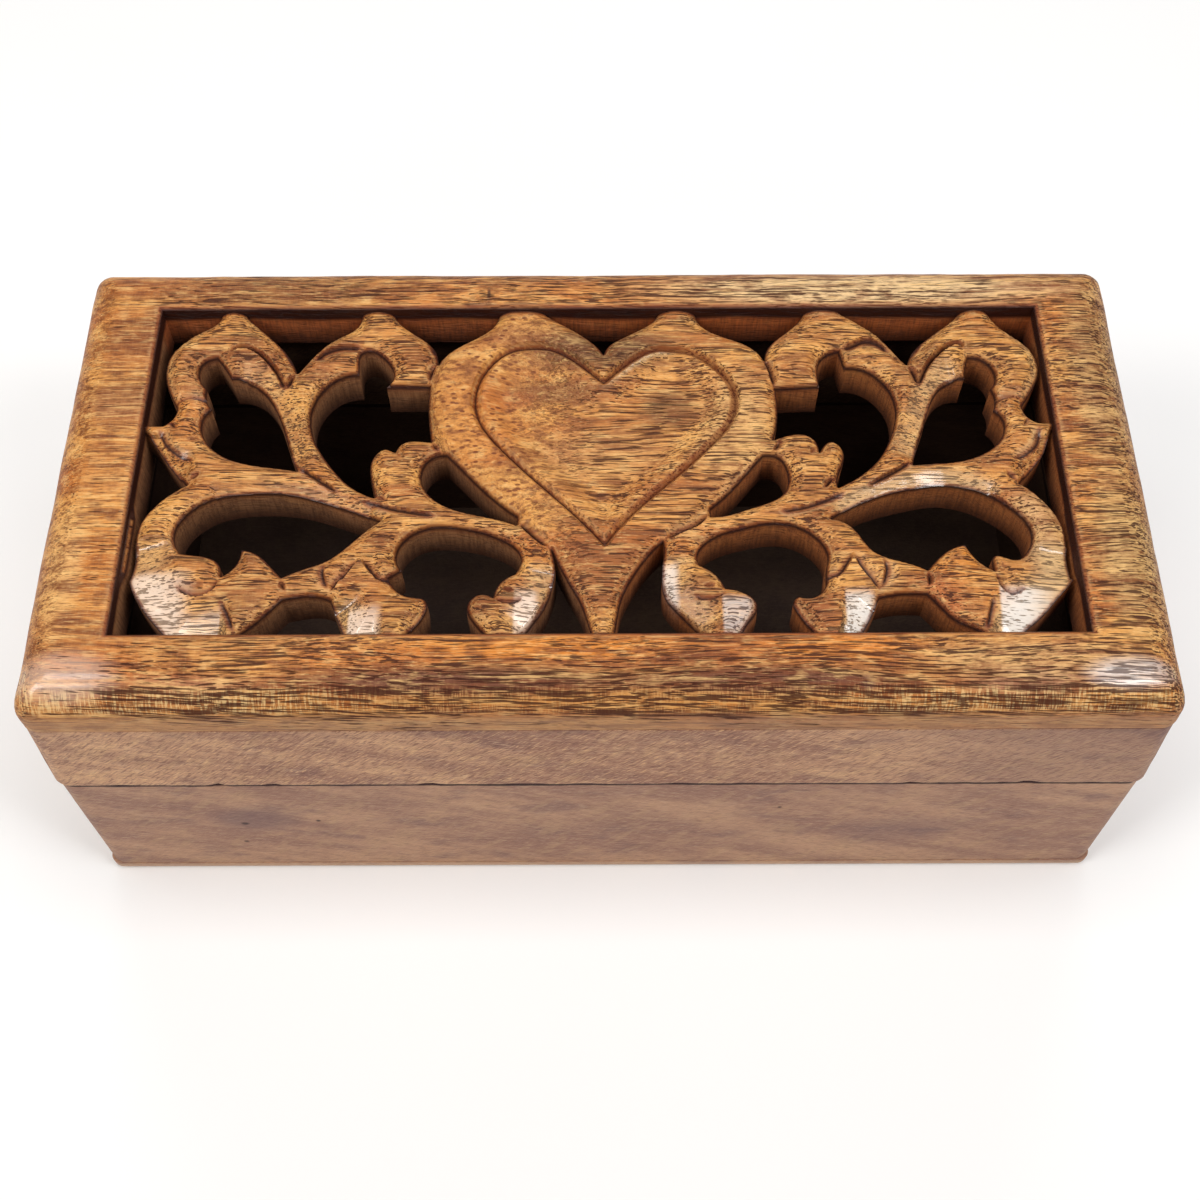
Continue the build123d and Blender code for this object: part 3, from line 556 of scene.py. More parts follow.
def carved_board():
    """The lid's top board in one closed skin.

    The flat sheet is divided into triangles that follow every outline, the opening's edge and
    every cut's path. The frame keeps its height, the carving is lowered by the knife's depth,
    and a column of rows hangs from each corner of a piercing's rim to the underside. Outside
    the frame, rings follow a quarter ellipse to the side and go straight down.
    """
    holes, heart, opening = board_outlines()
    low, high = opening
    cuts = cut_lines(opening, holes)

    # corners for the triangles: rims, opening, cut paths, inner grids
    edges, stock, count = [], [], 0

    def add(points, ring=None):
        """Takes points in, and their edges if they are a ring or an open line."""
        nonlocal count
        stock.append(points)
        index = np.arange(len(points)) + count
        count += len(points)
        if ring is not None:
            following = np.roll(index, -1) if ring else index[1:]
            edges.extend(np.column_stack([index[:len(following)], following]).tolist())

    rim = board_ring(BULLNOSE_IN, TOP)[:, :2]
    for outline in holes + [rim]:
        add(outline, ring=True)
    box_corners = rectangle(low, high)
    for start, end in zip(box_corners, np.roll(box_corners, -1, 0)):
        steps = int(np.hypot(*(end - start)) / OUTLINE_STEP)
        add(start + (end - start) * np.linspace(0, 1, steps + 1)[:, None], ring=False)
    blocked = [closed(outline) for outline in holes + [box_corners]]
    creases = [line[1:-1] * flip for flip, line, _, left, right, _ in cuts if min(left, right) > STEEP]
    clear = []
    for line in creases + [closed(heart)]:
        line = line[nearest(blocked, line, 1) > 0.3]
        line = line[boxed(line, low, high)]
        parts = np.split(line, np.flatnonzero(lengths(line) > 1) + 1)
        clear += [part for part in parts if len(part) > 2]
    for line in clear:
        add(line, ring=False)
    grid = staggered(low, high, CARVING_GRID)
    grid += 0.04 * np.column_stack([ripple(*grid.T, 0.5, 11), ripple(*grid.T, 0.5, 12)])
    grid = grid[~in_any(holes, grid)]
    grid = grid[nearest(blocked + clear, grid, 1) > 0.6 * CARVING_GRID]
    add(grid[boxed(grid, low, high)])
    grid = staggered(rim.min(0) + 1, rim.max(0), FRAME_GRID)
    outside = np.any((grid < low - 0.7) | (grid > high + 0.7), axis=1)
    add(grid[outside & (nearest([closed(rim)], grid, 1) > 0.8) & inside(rim, grid)])
    for margin in (0.35, 0.9):
        add(evened(rectangle(low - margin, high + margin), 0.9), ring=True)

    sheet = delaunay_2d_cdt(np.vstack(stock), edges, [], 0, 1e-5)
    flat, faces = np.array(sheet[0]), np.array(sheet[2])
    faces = faces[~in_any(holes, flat[faces].mean(1))]
    in_carving = boxed(flat[faces].mean(1), low, high)

    # heights of the two levels
    total = len(flat)
    lowered = boxed(flat, low - NEAR, high + NEAR)
    lifted = np.flatnonzero(lowered & ~boxed(flat, low + NEAR, high - NEAR))
    depth, stain, shine, dip = carve(flat, holes, heart, opening, cuts)
    outward = np.maximum(np.maximum(low - flat, flat - high).max(1), 0)
    frame_height = TOP - 0.06 - 0.5 * np.exp(-outward / 0.35) - 0.16 * np.exp(-outward / 1.3)
    frame_height += 0.05 * ripple(*flat.T, 14, 21) * smooth(0, 3, outward)
    height = np.where(lowered, TOP - CARVING_DROP - depth, frame_height)
    # The frame darkened along the opening's edge: painted shade where it drops to the carving.
    stain = np.where(lowered, stain, np.exp(-outward / 0.5))
    upper = np.arange(total)
    upper[lifted] = total + np.arange(len(lifted))
    plan = np.vstack([flat, flat[lifted]])
    level = np.concatenate([height, frame_height[lifted]])
    faces = np.where(in_carving[:, None], faces, upper[faces])

    # rim edges of the piercings and the step between frame and carving
    count = len(plan)
    lone = lone_edges(faces, count)
    lower = np.arange(count)
    lower[upper[lifted]] = lifted
    from_frame = (lone >= total).all(1)
    outer = ~from_frame & (nearest([closed(rim)], plan[lone].mean(1), 1) < 0.02)
    lone, from_frame = lone[~outer], from_frame[~outer]
    carving_back = coded(lone[~from_frame][:, ::-1], count)
    frame_back = coded(lower[lone[from_frame]][:, ::-1], count)
    stepped = from_frame & np.isin(coded(lower[lone], count), carving_back)
    meets_frame = ~from_frame & np.isin(coded(lone, count), frame_back)
    walled = lower[lone[~stepped & ~meets_frame]]
    a, b = lone[from_frame].T
    step_quads = np.column_stack([b, a, lower[a], lower[b]])

    # columns down to the underside
    hung = np.unique(walled)
    column = np.full(count, -1)
    column[hung] = np.arange(len(hung))
    rows = np.arange(1, WALL_ROWS + 1) / WALL_ROWS
    wall_level = level[hung] + (UNDERSIDE - level[hung]) * rows[:, None]
    along = plan[hung] @ (0.8, 0.6)
    wobble = 0.10 * ripple(along, wall_level, 1.6, 31) + 0.14 * ripple(along, wall_level * 0.4, 4, 32)
    wobble *= np.sin(rows * np.pi)[:, None]
    edge_step = plan[walled[:, 1]] - plan[walled[:, 0]]
    normal = unit(edge_step[:, ::-1] * (1, -1))
    push = np.zeros((len(hung), 2))
    for end in walled.T:
        np.add.at(push, column[end], normal)
    wall_plan = plan[hung] + wobble[..., None] * unit(push)
    ids = count + np.arange(wall_level.size).reshape(WALL_ROWS, -1)
    wall_quads = ladder_faces(np.vstack([hung, ids]), *column[walled].T)[:, [3, 0, 1, 2]]

    # rings outside the frame
    angles = np.linspace(0, np.pi / 2, 11)
    side_heights = np.linspace(TOP - BULLNOSE_DOWN, UNDERSIDE + ARRIS, 5)[1:]
    insets = [*(BULLNOSE_IN * (1 - np.sin(angles))), *(0 * side_heights), 0.1, ARRIS]
    heights = [*(TOP - BULLNOSE_DOWN * (1 - np.cos(angles))), *side_heights, UNDERSIDE + 0.1, UNDERSIDE]
    shape = np.array([board_ring(inset, z) for inset, z in zip(insets[1:], heights[1:])])
    x, y, z = np.moveaxis(shape, 2, 0)
    wave = 0.10 * ripple(x + z * 2, y + z, 11, 41) + 0.05 * ripple(x, y + 3 * z, 3.5, 42)
    weight = np.append(smooth(0, 2, np.arange(1, len(insets) - 2)), [0.3, 0])
    pull = (wave - 0.16) * weight[:, None]
    shape[..., :2] += np.sign(shape[..., :2] - BOARD_MIDDLE) * pull[..., None] * 0.8
    shape[:-4, :, 2] += (pull * 0.6)[:-4]
    order = np.arange(len(rim))
    ring_ids = count + ids.size + np.arange(z.size).reshape(z.shape)
    ring_ladder = np.vstack([order + sum(map(len, holes)), ring_ids])
    ring_quads = ladder_faces(ring_ladder, order, np.roll(order, -1))

    # underside
    under_points = np.vstack([plan[hung], shape[-1][:, :2]])
    ring_index = len(hung) + order
    under_edges = np.vstack([column[walled], np.column_stack([ring_index, np.roll(ring_index, -1)])])
    under = delaunay_2d_cdt(under_points, under_edges.tolist(), [], 0, 1e-5)
    under_faces = np.array(under[2])
    under_faces = under_faces[~in_any(holes, np.array(under[0])[under_faces].mean(1))]
    under_faces = np.concatenate([ids[-1], ring_ids[-1]])[under_faces][:, ::-1]

    points = np.vstack([
        np.column_stack([plan, level]),
        np.column_stack([wall_plan.reshape(-1, 2), wall_level.ravel()]),
        shape.reshape(-1, 3),
    ])
    extra, walls, outer_rings = (np.zeros(size) for size in (len(lifted), ids.size, ring_ids.size))
    # The step faces between frame and carving are dark in full, and the walls' top rows and the board's two
    # lowest rings darkened: painted shade in the recesses and where the board sits on the rails.
    wall_stain = np.repeat(np.exp(-rows * 6), len(hung))
    wall_dip = np.tile(dip[lower[hung]], WALL_ROWS)
    ring_stain = outer_rings.copy()
    ring_stain[-2 * len(rim):] = 0.6
    quads = np.vstack([step_quads, wall_quads, ring_quads])
    return surface(
        "carved_lid_board", points, quads, np.vstack([faces, under_faces]),
        stain=np.concatenate([stain, extra + 1, wall_stain, ring_stain]),
        shine=np.concatenate([np.where(lowered, shine, 0), extra, walls, outer_rings]),
        sawn=np.concatenate([np.zeros(count), walls + 1, outer_rings]),
        dip=np.concatenate([dip, extra, wall_dip, outer_rings]),
    )


# ---- rails and walls

SEAM = node_box("lid_front_rail")[0][2]
FLOOR = node_box("base_front_wall")[0][2]
INNER_X, INNER_Y = -node_box("base_left_wall")[1][0], -node_box("base_front_wall")[1][1]

# Half the lid's and the base's length and depth, each at the bottom and the top of its walls
LID_LENGTH, LID_DEPTH = (-node_box("lid_left_rail")[0][0], BOARD_HIGH[0]), (BOARD_HIGH[1],) * 2
BASE_LENGTH = (-node_box("base_left_wall")[0][0],) * 2
BASE_DEPTH = (-node_box("base_front_wall")[0][1],) * 2

# The seam is cut back to a slope behind the hinge's axis, so that the lid can lean past upright
HINGE_AXIS = 46.2
HINGE_SLOPE = float(np.tan(np.radians(52.5)))

# How far each outer edge of a wall is rounded over, at its bottom and its top, and each inner edge
LID_EDGES, BASE_EDGES = (0.5, 0.25), (0.3, 0.6)
INNER_EDGE = 0.3

# Places along the seam where its edge is chipped, with each chip's depth and half width
CHIPS = [(-69.9, 0.55, 0.9), (-59.8, 0.4, 0.7), (-31, 0.25, 1.2), (14, 0.2, 2), (57, 0.3, 1), (78, 0.35, 1.3)]


def section(low, high, outer_low, outer_high):
    """A wall's section: its insets up the outer face, its insets down the inner face, its heights.

    Straight sides and quarter-round edges.
    """
    turn = np.linspace(0, np.pi / 2, 6)
    sine, cosine = 1 - np.sin(turn), 1 - np.cos(turn)
    outer_face = np.linspace(low + outer_low, high - outer_high, 24)[1:-1]
    inner_face = np.linspace(high - INNER_EDGE, low + INNER_EDGE, 8)[1:-1]
    from_outer = np.concatenate([outer_low * sine, 0 * outer_face, outer_high * cosine])
    from_inner = np.concatenate([INNER_EDGE * sine, 0 * inner_face, INNER_EDGE * cosine])
    height = np.concatenate([
        low + outer_low * cosine, outer_face, high - outer_high * sine,
        high - INNER_EDGE * cosine, inner_face, low + INNER_EDGE * sine,
    ])
    return from_outer, from_inner, height


def mitred_wall(name, direction, runs, faces, inner, low, high, edges, seed):
    """One wall of a box between two mitres.

    runs and faces give half the wall's length and its outer face's distance from the middle,
    each at the bottom and the top. The section is carried along the face: straight, with an
    eighth of a turn round the corner at each end. A point at inset d follows an arc of radius
    R - d about the corner's centre, or meets the mitre at d from both faces. The outer face
    wavers inwards by a few hundredths, and small chips push the seam's edge in. Behind the
    hinge's axis the heights close up from the seam, in proportion, onto the slope that clears it.
    """
    from_outer, from_inner, height = section(low, high, *edges)
    rise = (height - low) / (high - low)
    half_run = runs[0] + (runs[1] - runs[0]) * rise
    face = faces[0] + (faces[1] - faces[0]) * rise
    inset = np.append(from_outer, face[len(from_outer):] - inner - from_inner)
    radius = np.maximum(CORNER_ROUND - inset, 0.05)
    centre_run = half_run - inset - radius
    centre_across = face - inset - radius
    turn = np.linspace(np.pi / 4, 0, 6)[:, None]
    end_run = centre_run + radius * np.sin(turn)
    end_across = centre_across + radius * np.cos(turn)
    share = np.linspace(1, -1, 150)[1:-1, None]
    level_across = np.broadcast_to(centre_across + radius, share.shape[:1] + inset.shape)
    run = np.vstack([end_run, centre_run * share, -end_run[::-1]])
    across = np.vstack([end_across, level_across, end_across[::-1]])
    tall = np.broadcast_to(height, run.shape).copy()
    waver = 0.10 + 0.05 * ripple(run, tall, 13, seed) + 0.04 * ripple(run, tall, 4, seed + 1)
    nick = 0.12 * np.maximum(0, ripple(run, run * 0, 2.3, seed + 2))
    for place, depth, width in CHIPS:
        nick += depth * np.exp(-((run - place) / width) ** 2)
    nick *= np.exp(-((tall - SEAM) / 0.7) ** 2)
    outer = np.exp(-inset / 1.2)
    across = across - outer * (waver + nick)
    tall += outer * nick * 0.5 * np.sign((low + high) / 2 - SEAM)
    ax, ay = {"front": (1, 0), "left": (0, -1), "right": (0, 1)}[direction]
    far = low + high - SEAM
    back = np.maximum(0, ay * run - ax * across - HINGE_AXIS) * HINGE_SLOPE
    tall = far + (tall - far) * (1 - back / (high - low))
    grid = np.stack([ax * run + ay * across, ay * run - ax * across, tall], 2)
    rows, columns = run.shape
    index = np.arange(run.size).reshape(rows, columns)
    here, there = index[:-1], index[1:]
    quads = np.stack([here, np.roll(here, -1, 1), np.roll(there, -1, 1), there], 2).reshape(-1, 4)
    fan = np.column_stack([np.zeros(columns - 2, int), np.arange(1, columns - 1), np.arange(2, columns)])
    tris = np.vstack([index[0][fan][:, ::-1], index[-1][fan]])
    return surface(name, grid.reshape(-1, 3), quads, tris)


def eased_copy(name, node, width):
    """A copy of a node's mesh with doubles merged, flat faces joined and every edge eased."""
    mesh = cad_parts[node].data.copy()
    mesh.name = name
    shell = bmesh.new()
    shell.from_mesh(mesh)
    bmesh.ops.remove_doubles(shell, verts=shell.verts, dist=1e-6)
    bmesh.ops.dissolve_limit(
        shell, angle_limit=np.radians(1), verts=shell.verts, edges=shell.edges, delimit={"NORMAL"}
    )
    shell.to_mesh(mesh)
    shell.free()
    piece = smoothed(name, mesh, 30)
    bevel = piece.modifiers.new("eased", "BEVEL")
    bevel.width = width * MM
    bevel.segments = 3
    bevel.limit_method = "ANGLE"
    bevel.angle_limit = np.radians(35)
    bevel.use_clamp_overlap = True
    bevel.harden_normals = True
    return piece


# ---- finishes


def paint(red, green, blue):
    """A colour given as it looks on a screen, 0 to 255, as the light it stands for."""
    levels = np.array([red, green, blue]) / 255
    light = np.where(levels <= 0.04045, levels / 12.92, ((levels + 0.055) / 1.055) ** 2.4)
    return (*light.tolist(), 1)


class Field:
    """A shader socket that takes part in Python sums."""

    def __init__(self, finish, socket):
        self.finish, self.socket = finish, socket

    def sum(self, operation, *terms):
        return self.finish.node("Math", {"operation": operation}, dict(enumerate(terms)))

    def __add__(self, other):
        return self.sum("ADD", self, other)

    def __sub__(self, other):
        return self.sum("SUBTRACT", self, other)

    def __rsub__(self, other):
        return self.sum("SUBTRACT", other, self)

    def __mul__(self, other):
        return self.sum("MULTIPLY", self, other)

    __radd__, __rmul__ = __add__, __mul__

    def size(self):
        return self.sum("ABSOLUTE", self)

    def most(self, other):
        return self.sum("MAXIMUM", self, other)

    def rising(self, low, high):
        """0 below low, 1 above high, smooth between."""
        settings = {"interpolation_type": "SMOOTHSTEP"}
        return self.finish.node("MapRange", settings, {0: self, 1: low, 2: high, 3: 0, 4: 1})


class Finish:
    """A material whose nodes all come from one method."""

    def __init__(self, name):
        self.material = bpy.data.materials.new(name)
        self.material.use_nodes = True
        self.tree = self.material.node_tree
        self.tree.nodes.clear()

    def node(self, kind, settings=None, inputs=None, output=0):
        """A shader node with its settings made first and its sockets set or linked after."""
        made = self.tree.nodes.new("ShaderNode" + kind)
        for key, value in (settings or {}).items():
            setattr(made, key, value)
        for key, value in (inputs or {}).items():
            if isinstance(value, Field):
                self.tree.links.new(value.socket, made.inputs[key])
            else:
                made.inputs[key].default_value = value
        return Field(self, made.outputs[output])

    def places(self, turned=False):
        """Object coordinates in millimetres, turned a quarter so that Y lies on X if asked."""
        here = self.node("TexCoord", output=3)
        return self.node("Mapping", inputs={0: here, 2: (0, 0, turned * np.pi / 2), 3: (1 / MM,) * 3})

    def fitted(self, vector, centre, size):
        """A vector measured from a centre, in steps of the given size along each axis."""
        return self.node("Mapping", {"vector_type": "TEXTURE"}, {0: vector, 1: centre, 3: size})

    def axes(self, vector):
        """The three parts of a vector."""
        parts = self.node("SeparateXYZ", inputs={0: vector}).socket.node
        return [Field(self, part) for part in parts.outputs]

    def vector(self, operation, first, second=(0, 0, 0), output=0):
        return self.node("VectorMath", {"operation": operation}, {0: first, 1: second}, output)

    def noise(self, vector, size, seed, detail=2, rough=0.5, output=0):
        """Noise from 0 to 1 whose grains have the given size along each axis."""
        moved = self.fitted(vector, (seed * 3.1, seed * 5.7, seed * 7.3), size)
        inputs = {"Vector": moved, "Scale": 1, "Detail": detail, "Roughness": rough}
        return self.node("TexNoise", inputs=inputs, output=output)

    def cells(self, vector, size, seed):
        """The distance to the nearest of scattered points, stretched to the given size."""
        moved = self.fitted(vector, (seed * 2.3, seed * 4.1, seed * 6.7), size)
        return self.node("TexVoronoi", inputs={"Vector": moved, "Scale": 1})

    def mix(self, share, first, second):
        """Two colours mixed."""
        return self.node("Mix", {"data_type": "RGBA"}, {0: share, 6: first, 7: second}, 2)

    def coats(self, colour, *layers):
        """A colour with others laid over it in turn, each given as its share, red, green and blue."""
        for share, *shade in layers:
            colour = self.mix(share, colour, paint(*shade))
        return colour

    def spot(self, place, centre, reach):
        """1 at a place on the piece, falling to 0 on an ellipsoid round it."""
        return 1 - self.vector("LENGTH", self.fitted(place, centre, reach), output=1).rising(0.35, 1)

    def close(self, colour, rough, relief=None, metallic=0, coat=0, coat_rough=0.2):
        """The surface itself: colour, gloss and relief in millimetres."""
        inputs = {"Base Color": colour, "Roughness": rough, "Metallic": metallic, "Specular IOR Level": 0.3,
                  "Coat Weight": coat, "Coat Roughness": coat_rough, "Coat IOR": 1.7}
        if relief is not None:
            bump = {"Strength": 1, "Distance": MM, "Height": relief}
            inputs["Normal"] = self.node("Bump", inputs=bump)
        shader = self.node("BsdfPrincipled", inputs=inputs)
        surface_end = self.tree.nodes.new("ShaderNodeOutputMaterial")
        self.tree.links.new(shader.socket, surface_end.inputs[0])
        return self.material


def grain(finish, place, slope):
    """Places bent the way the grain runs: it wanders sideways and dips through the surface."""
    drift = finish.noise(place, (42, 16, 16), 1, 1, output=1)
    x, y, z = finish.axes(finish.vector("ADD", place, finish.vector("MULTIPLY", drift, (0, 4, 4))))
    return finish.node("CombineXYZ", inputs={0: x, 1: y, 2: z + x * slope})


# Stains in the board's wood, and painted shade under the heart's ridge and over its notch: centre and reach
# in mm, colour, strength
STAINS_AND_SHADES = [
    ((-60, 40.5, 75), (34, 5, 9), (124, 68, 34), 0.75), ((-88, 29, 75), (9, 5, 9), (140, 82, 42), 0.5),
    ((-89, 14, 75), (9, 6, 9), (134, 78, 52), 0.6), ((-88, -3, 75), (8, 8, 9), (222, 158, 84), 0.5),
    ((-87, -20, 75), (5, 16, 9), (198, 118, 44), 0.55), ((-93, -22, 73), (5, 20, 9), (226, 176, 112), 0.6),
    ((-22, 41, 75), (24, 5, 9), (204, 134, 68), 0.5), ((50, 41, 75), (54, 6, 9), (240, 208, 156), 0.8),
    ((-20, 41, 72), (6, 2, 3), (96, 48, 26), 0.5), ((94, 20, 75), (9, 32, 9), (176, 138, 90), 0.75),
    # The second entry below is painted shade along the heart's ridge.
    ((93, -20, 75), (9, 22, 9), (190, 156, 102), 0.7), ((-8, 18.3, 73), (13, 3.6, 6), (120, 68, 34), 0.8),
    ((13, 14.5, 73), (7, 6.5, 6), (100, 58, 32), 0.75), ((-15, 17, 73), (5, 2.5, 6), (168, 84, 40), 0.5),
    ((0, 4, 73), (18, 8, 6), (214, 158, 96), 0.5), ((-26, 9, 75), (6, 17, 6), (214, 142, 66), 0.6),
    ((25, 8, 75), (10, 18, 6), (220, 176, 116), 0.55), ((0, -21, 73), (13, 11, 8), (132, 64, 28), 0.75),
    ((-10, -37.4, 76), (34, 3.6, 4), (222, 134, 40), 0.75),
    ((40, -37, 76), (18, 3.4, 4), (226, 132, 40), 0.75),
    ((-62, -36.5, 76), (26, 2.8, 4), (180, 112, 54), 0.6),
    ((-70, -44, 73), (20, 3.5, 5), (158, 106, 84), 0.6),
    ((-24, -43.2, 74.5), (44, 3.8, 4), (100, 56, 42), 0.92),
    ((28, -43.2, 74.5), (36, 3.8, 4), (98, 54, 40), 0.92),
    ((72, -43.5, 74), (18, 3.5, 4), (156, 114, 96), 0.6), ((62, -18, 74), (9, 9, 6), (222, 136, 48), 0.65),
    ((78, -12, 74), (7, 12, 6), (206, 168, 122), 0.6), ((-70, 20, 74), (12, 10, 6), (176, 110, 66), 0.5),
    ((-44, 22, 74), (10, 8, 6), (206, 144, 78), 0.4), ((42, 18, 74), (8, 9, 6), (196, 124, 68), 0.5),
    ((-60, -14, 74), (22, 12, 6), (204, 128, 62), 0.5), ((-22, -20, 74), (10, 8, 6), (198, 128, 66), 0.45),
    # The first entry below is painted shade over the heart's notch.
    ((0, 27.8, 74), (19, 7, 6), (84, 46, 24), 0.95), ((-16, 31, 75), (9, 3.5, 6), (156, 98, 58), 0.5),
    ((0.5, -5.2, 72.5), (1.8, 1.4, 3), (104, 50, 30), 0.85),
    ((44.7, -44, 74.5), (1.7, 1.8, 3), (104, 68, 58), 0.8),
    ((-84.5, 33, 75), (3, 9, 6), (126, 70, 34), 0.5), ((-23.5, 37.4, 76), (3.4, 0.5, 2), (56, 26, 16), 0.9),
    ((-21, 39.6, 76), (0.5, 2.4, 2), (56, 26, 16), 0.9), ((-50, -30, 74), (10, 6, 6), (196, 140, 60), 0.4),
    ((74, -40, 76), (26, 5, 5), (206, 168, 116), 0.5), ((-62, -28, 74), (7, 8, 6), (140, 84, 46), 0.6),
    ((-35, -28, 74), (5, 7, 6), (196, 132, 58), 0.5), ((-21, -27, 74), (6, 7, 6), (122, 58, 24), 0.8),
    ((17, -28, 74), (5, 6, 6), (140, 70, 28), 0.8), ((37, -28, 74), (6, 7, 6), (146, 72, 30), 0.8),
    ((58, -27, 74), (8, 8, 6), (180, 86, 30), 0.8), ((-53, 26, 74), (5, 9, 6), (150, 88, 50), 0.5),
    ((60, 24, 74), (7, 9, 6), (150, 92, 58), 0.45),
]

# Places on the carving painted with a pale reflection: low and high corners in mm, how softly the right side
# ends
PAINTED_REFLECTIONS = [
    ((-82, -33.9), (-71.5, -21), 2), ((-43.4, -33.9), (-37.8, -28.2), 1), ((-14.9, -33.9), (-11, -25), 0.8),
    ((10.6, -29.6), (13.6, -19.5), 0.8), ((21.1, -33.9), (26.4, -26.4), 1.2),
    ((42.3, -33.9), (47.2, -25.4), 1), ((69, -33.9), (77, -24.2), 4.5),
]


def waxed_carved_wood():
    """The lid's board: golden brown with orange and smoky patches, long dark pores, dark grooves that are
    partly stain and partly painted shade, and painted highlights on facets, edges and corners.

    Pores are threads and stretched cells, crowded in bands. Where the grain dips they are cut short.
    """
    f = Finish("waxed_carved_wood")
    place = f.places()
    stain, shine, sawn, dip = (
        f.node("Attribute", {"attribute_name": name}, output=2) for name in ("stain", "shine", "sawn", "dip"))
    run = grain(f, place, 0.05 + 0.36 * dip)
    across, along, height = f.axes(place)
    drop = TOP - height
    front = (0 - along).rising(39.5, 42)
    right = across.rising(-6, 6)
    carved = (1 - across.size().rising(83.2, 84.2)) * (1 - (along + 0.2).size().rising(34.2, 34.8))
    # The front corners: rubbed glossy, and painted pale as a highlight.
    rubbed_and_highlit = f.spot(place, (89, -42.4, 75), (10, 3.8, 6))
    rubbed_and_highlit = rubbed_and_highlit.most(0.7 * f.spot(place, (-90, -42.5, 75), (12, 6, 6)))

    # the wood's figure and its pores
    bands = f.noise(run, (95, 5.5, 5.5), 2, 2, 0.55)
    streaks = f.noise(run, (30, 1, 1), 3.5, 3, 0.6)
    patches = f.noise(place, (20, 13, 13), 3)
    mottle = f.noise(place, (5, 2.6, 2.6), 4, 3, 0.6)
    fibre = f.noise(run, (4.5, 0.26, 0.26), 5, 3, 0.7)
    comb = f.noise(place, (0.34, 3, 2.2), 6, 2, 0.6)
    crowd = f.noise(run, (48, 2.4, 2.4), 7, 2, 0.6) + 0.17 * front * drop.rising(0.3, 1.4)
    crowd = crowd - 0.40 * front * drop.rising(4.6, 6.4) - 0.35 * (0 - across).rising(82, 86)
    thread = f.noise(run, (7, 0.34, 0.34), 9, 1.5)
    line = f.noise(run, (17, 0.42, 0.42), 10)
    speck = f.cells(run, (2.8, 0.52, 0.52), 8)
    long_pores = (thread + 0.36 * crowd).rising(0.755, 0.81).most((line + 0.2 * crowd).rising(0.72, 0.77))
    short_pores = 1 - (speck - 0.22 * crowd).rising(0.06, 0.2)
    pores = (long_pores * (1 - 0.75 * dip)).most(short_pores * (0.45 - 0.45 * dip) * (1 - 0.6 * carved))
    dashes = 1 - f.cells(place, (1.9, 0.95, 4), 13).rising(0.18, 0.36)
    plain = 1 - 0.6 * stain.rising(0.08, 0.3)
    combed = front * drop.rising(0.7, 1.6) * (1 - drop.rising(3.6, 5))
    tick = f.mix(across.size().rising(32, 58), paint(206, 154, 92), paint(240, 204, 140))
    wear_and_highlight = stain.rising(0.05, 0.16) * (1 - stain.rising(0.2, 0.4)) * (1 - sawn) * mottle.rising(0.4, 0.6)

    # its colour, from the ground up
    colour = f.mix(bands.rising(0.32, 0.68), paint(222, 156, 80), paint(176, 102, 44))
    colour = f.coats(
        colour, (patches.rising(0.5, 0.7) * 0.6, 198, 110, 38),
        *((f.spot(place, centre, reach) * strength, *shade) for centre, reach, shade, strength in STAINS_AND_SHADES),
        (streaks.rising(0.5, 0.64) * 0.78, 116, 56, 18), (streaks.rising(0.46, 0.3) * 0.5, 240, 192, 120),
        (mottle.rising(0.48, 0.66) * 0.6, 124, 62, 26), (mottle.rising(0.46, 0.3) * 0.4, 238, 190, 120),
        (fibre.rising(0.5, 0.66) * (0.74 - 0.6 * dip) * plain * (1 - 0.15 * carved), 90, 44, 16),
        (fibre.rising(0.45, 0.33) * (0.4 - 0.35 * dip) * plain, 250, 208, 138), (carved * 0.05, 240, 176, 96))
    colour = f.mix(comb.rising(0.45, 0.62) * (0.04 + 0.56 * combed), colour, tick)
    colour = f.coats(
        # The front bullnose turns mauve and darker towards its foot: partly its tone, partly painted shade.
        colour, (front * drop.rising(3, 7) * 0.55, 160, 118, 86), (pores * (0.9 - 0.2 * dip), 64, 24, 6),
        # The pale line beside each rim: partly wear, partly a painted highlight.
        (dip * dashes * 0.9, 112, 52, 18), (wear_and_highlight * 0.18, 250, 204, 140),
        # Painted highlight: the polished facets painted pale, more so on the right half.
        (shine * (0.22 + 0.2 * right) * (1 - 0.6 * pores), 246, 212, 156))

    # the painted pale reflections, then the dark in the cuts, partly stain and partly painted shade, then the
    # piercings' sawn walls
    painted_reflection = 0.44 * rubbed_and_highlit
    for (low_x, low_y), (high_x, high_y), soft in PAINTED_REFLECTIONS:
        wide = across.rising(low_x - 0.2, low_x + 0.5) * (1 - across.rising(high_x - soft, high_x + soft))
        deep = along.rising(low_y - 0.5, low_y) * (1 - along.rising(high_y - 1.6, high_y + 0.6))
        painted_reflection = painted_reflection.most(wide * deep * (0.42 + 0.34 * shine))
    reflection_colour = f.mix(right, paint(250, 224, 202), paint(248, 244, 238))
    colour = f.coats(
        f.mix(painted_reflection * (1 - 0.75 * pores), colour, reflection_colour),
        (stain.rising(0.04, 0.5) * 0.6, 136, 64, 32), (stain.rising(0.25, 1) * 0.95, 48, 20, 16))
    hatch = f.noise(place, (0.45, 0.45, 5), 11, 3, 0.65)
    wall = f.coats(
        f.mix(right, paint(172, 120, 82), paint(196, 118, 66)), (along.rising(30, 34) * 0.8, 204, 104, 50),
        # Painted shade: the walls darker with depth into the piercings.
        (hatch.rising(0.35, 0.7) * 0.6, 92, 54, 34), (drop.rising(3, 11) * 0.9, 54, 24, 14))
    colour = f.mix(sawn * (1 - 0.7 * stain), colour, wall)
    rough = 0.34 + 0.2 * mottle + 0.25 * sawn - 0.12 * shine + 0.25 * pores + 0.14 * front * (1 - rubbed_and_highlit)
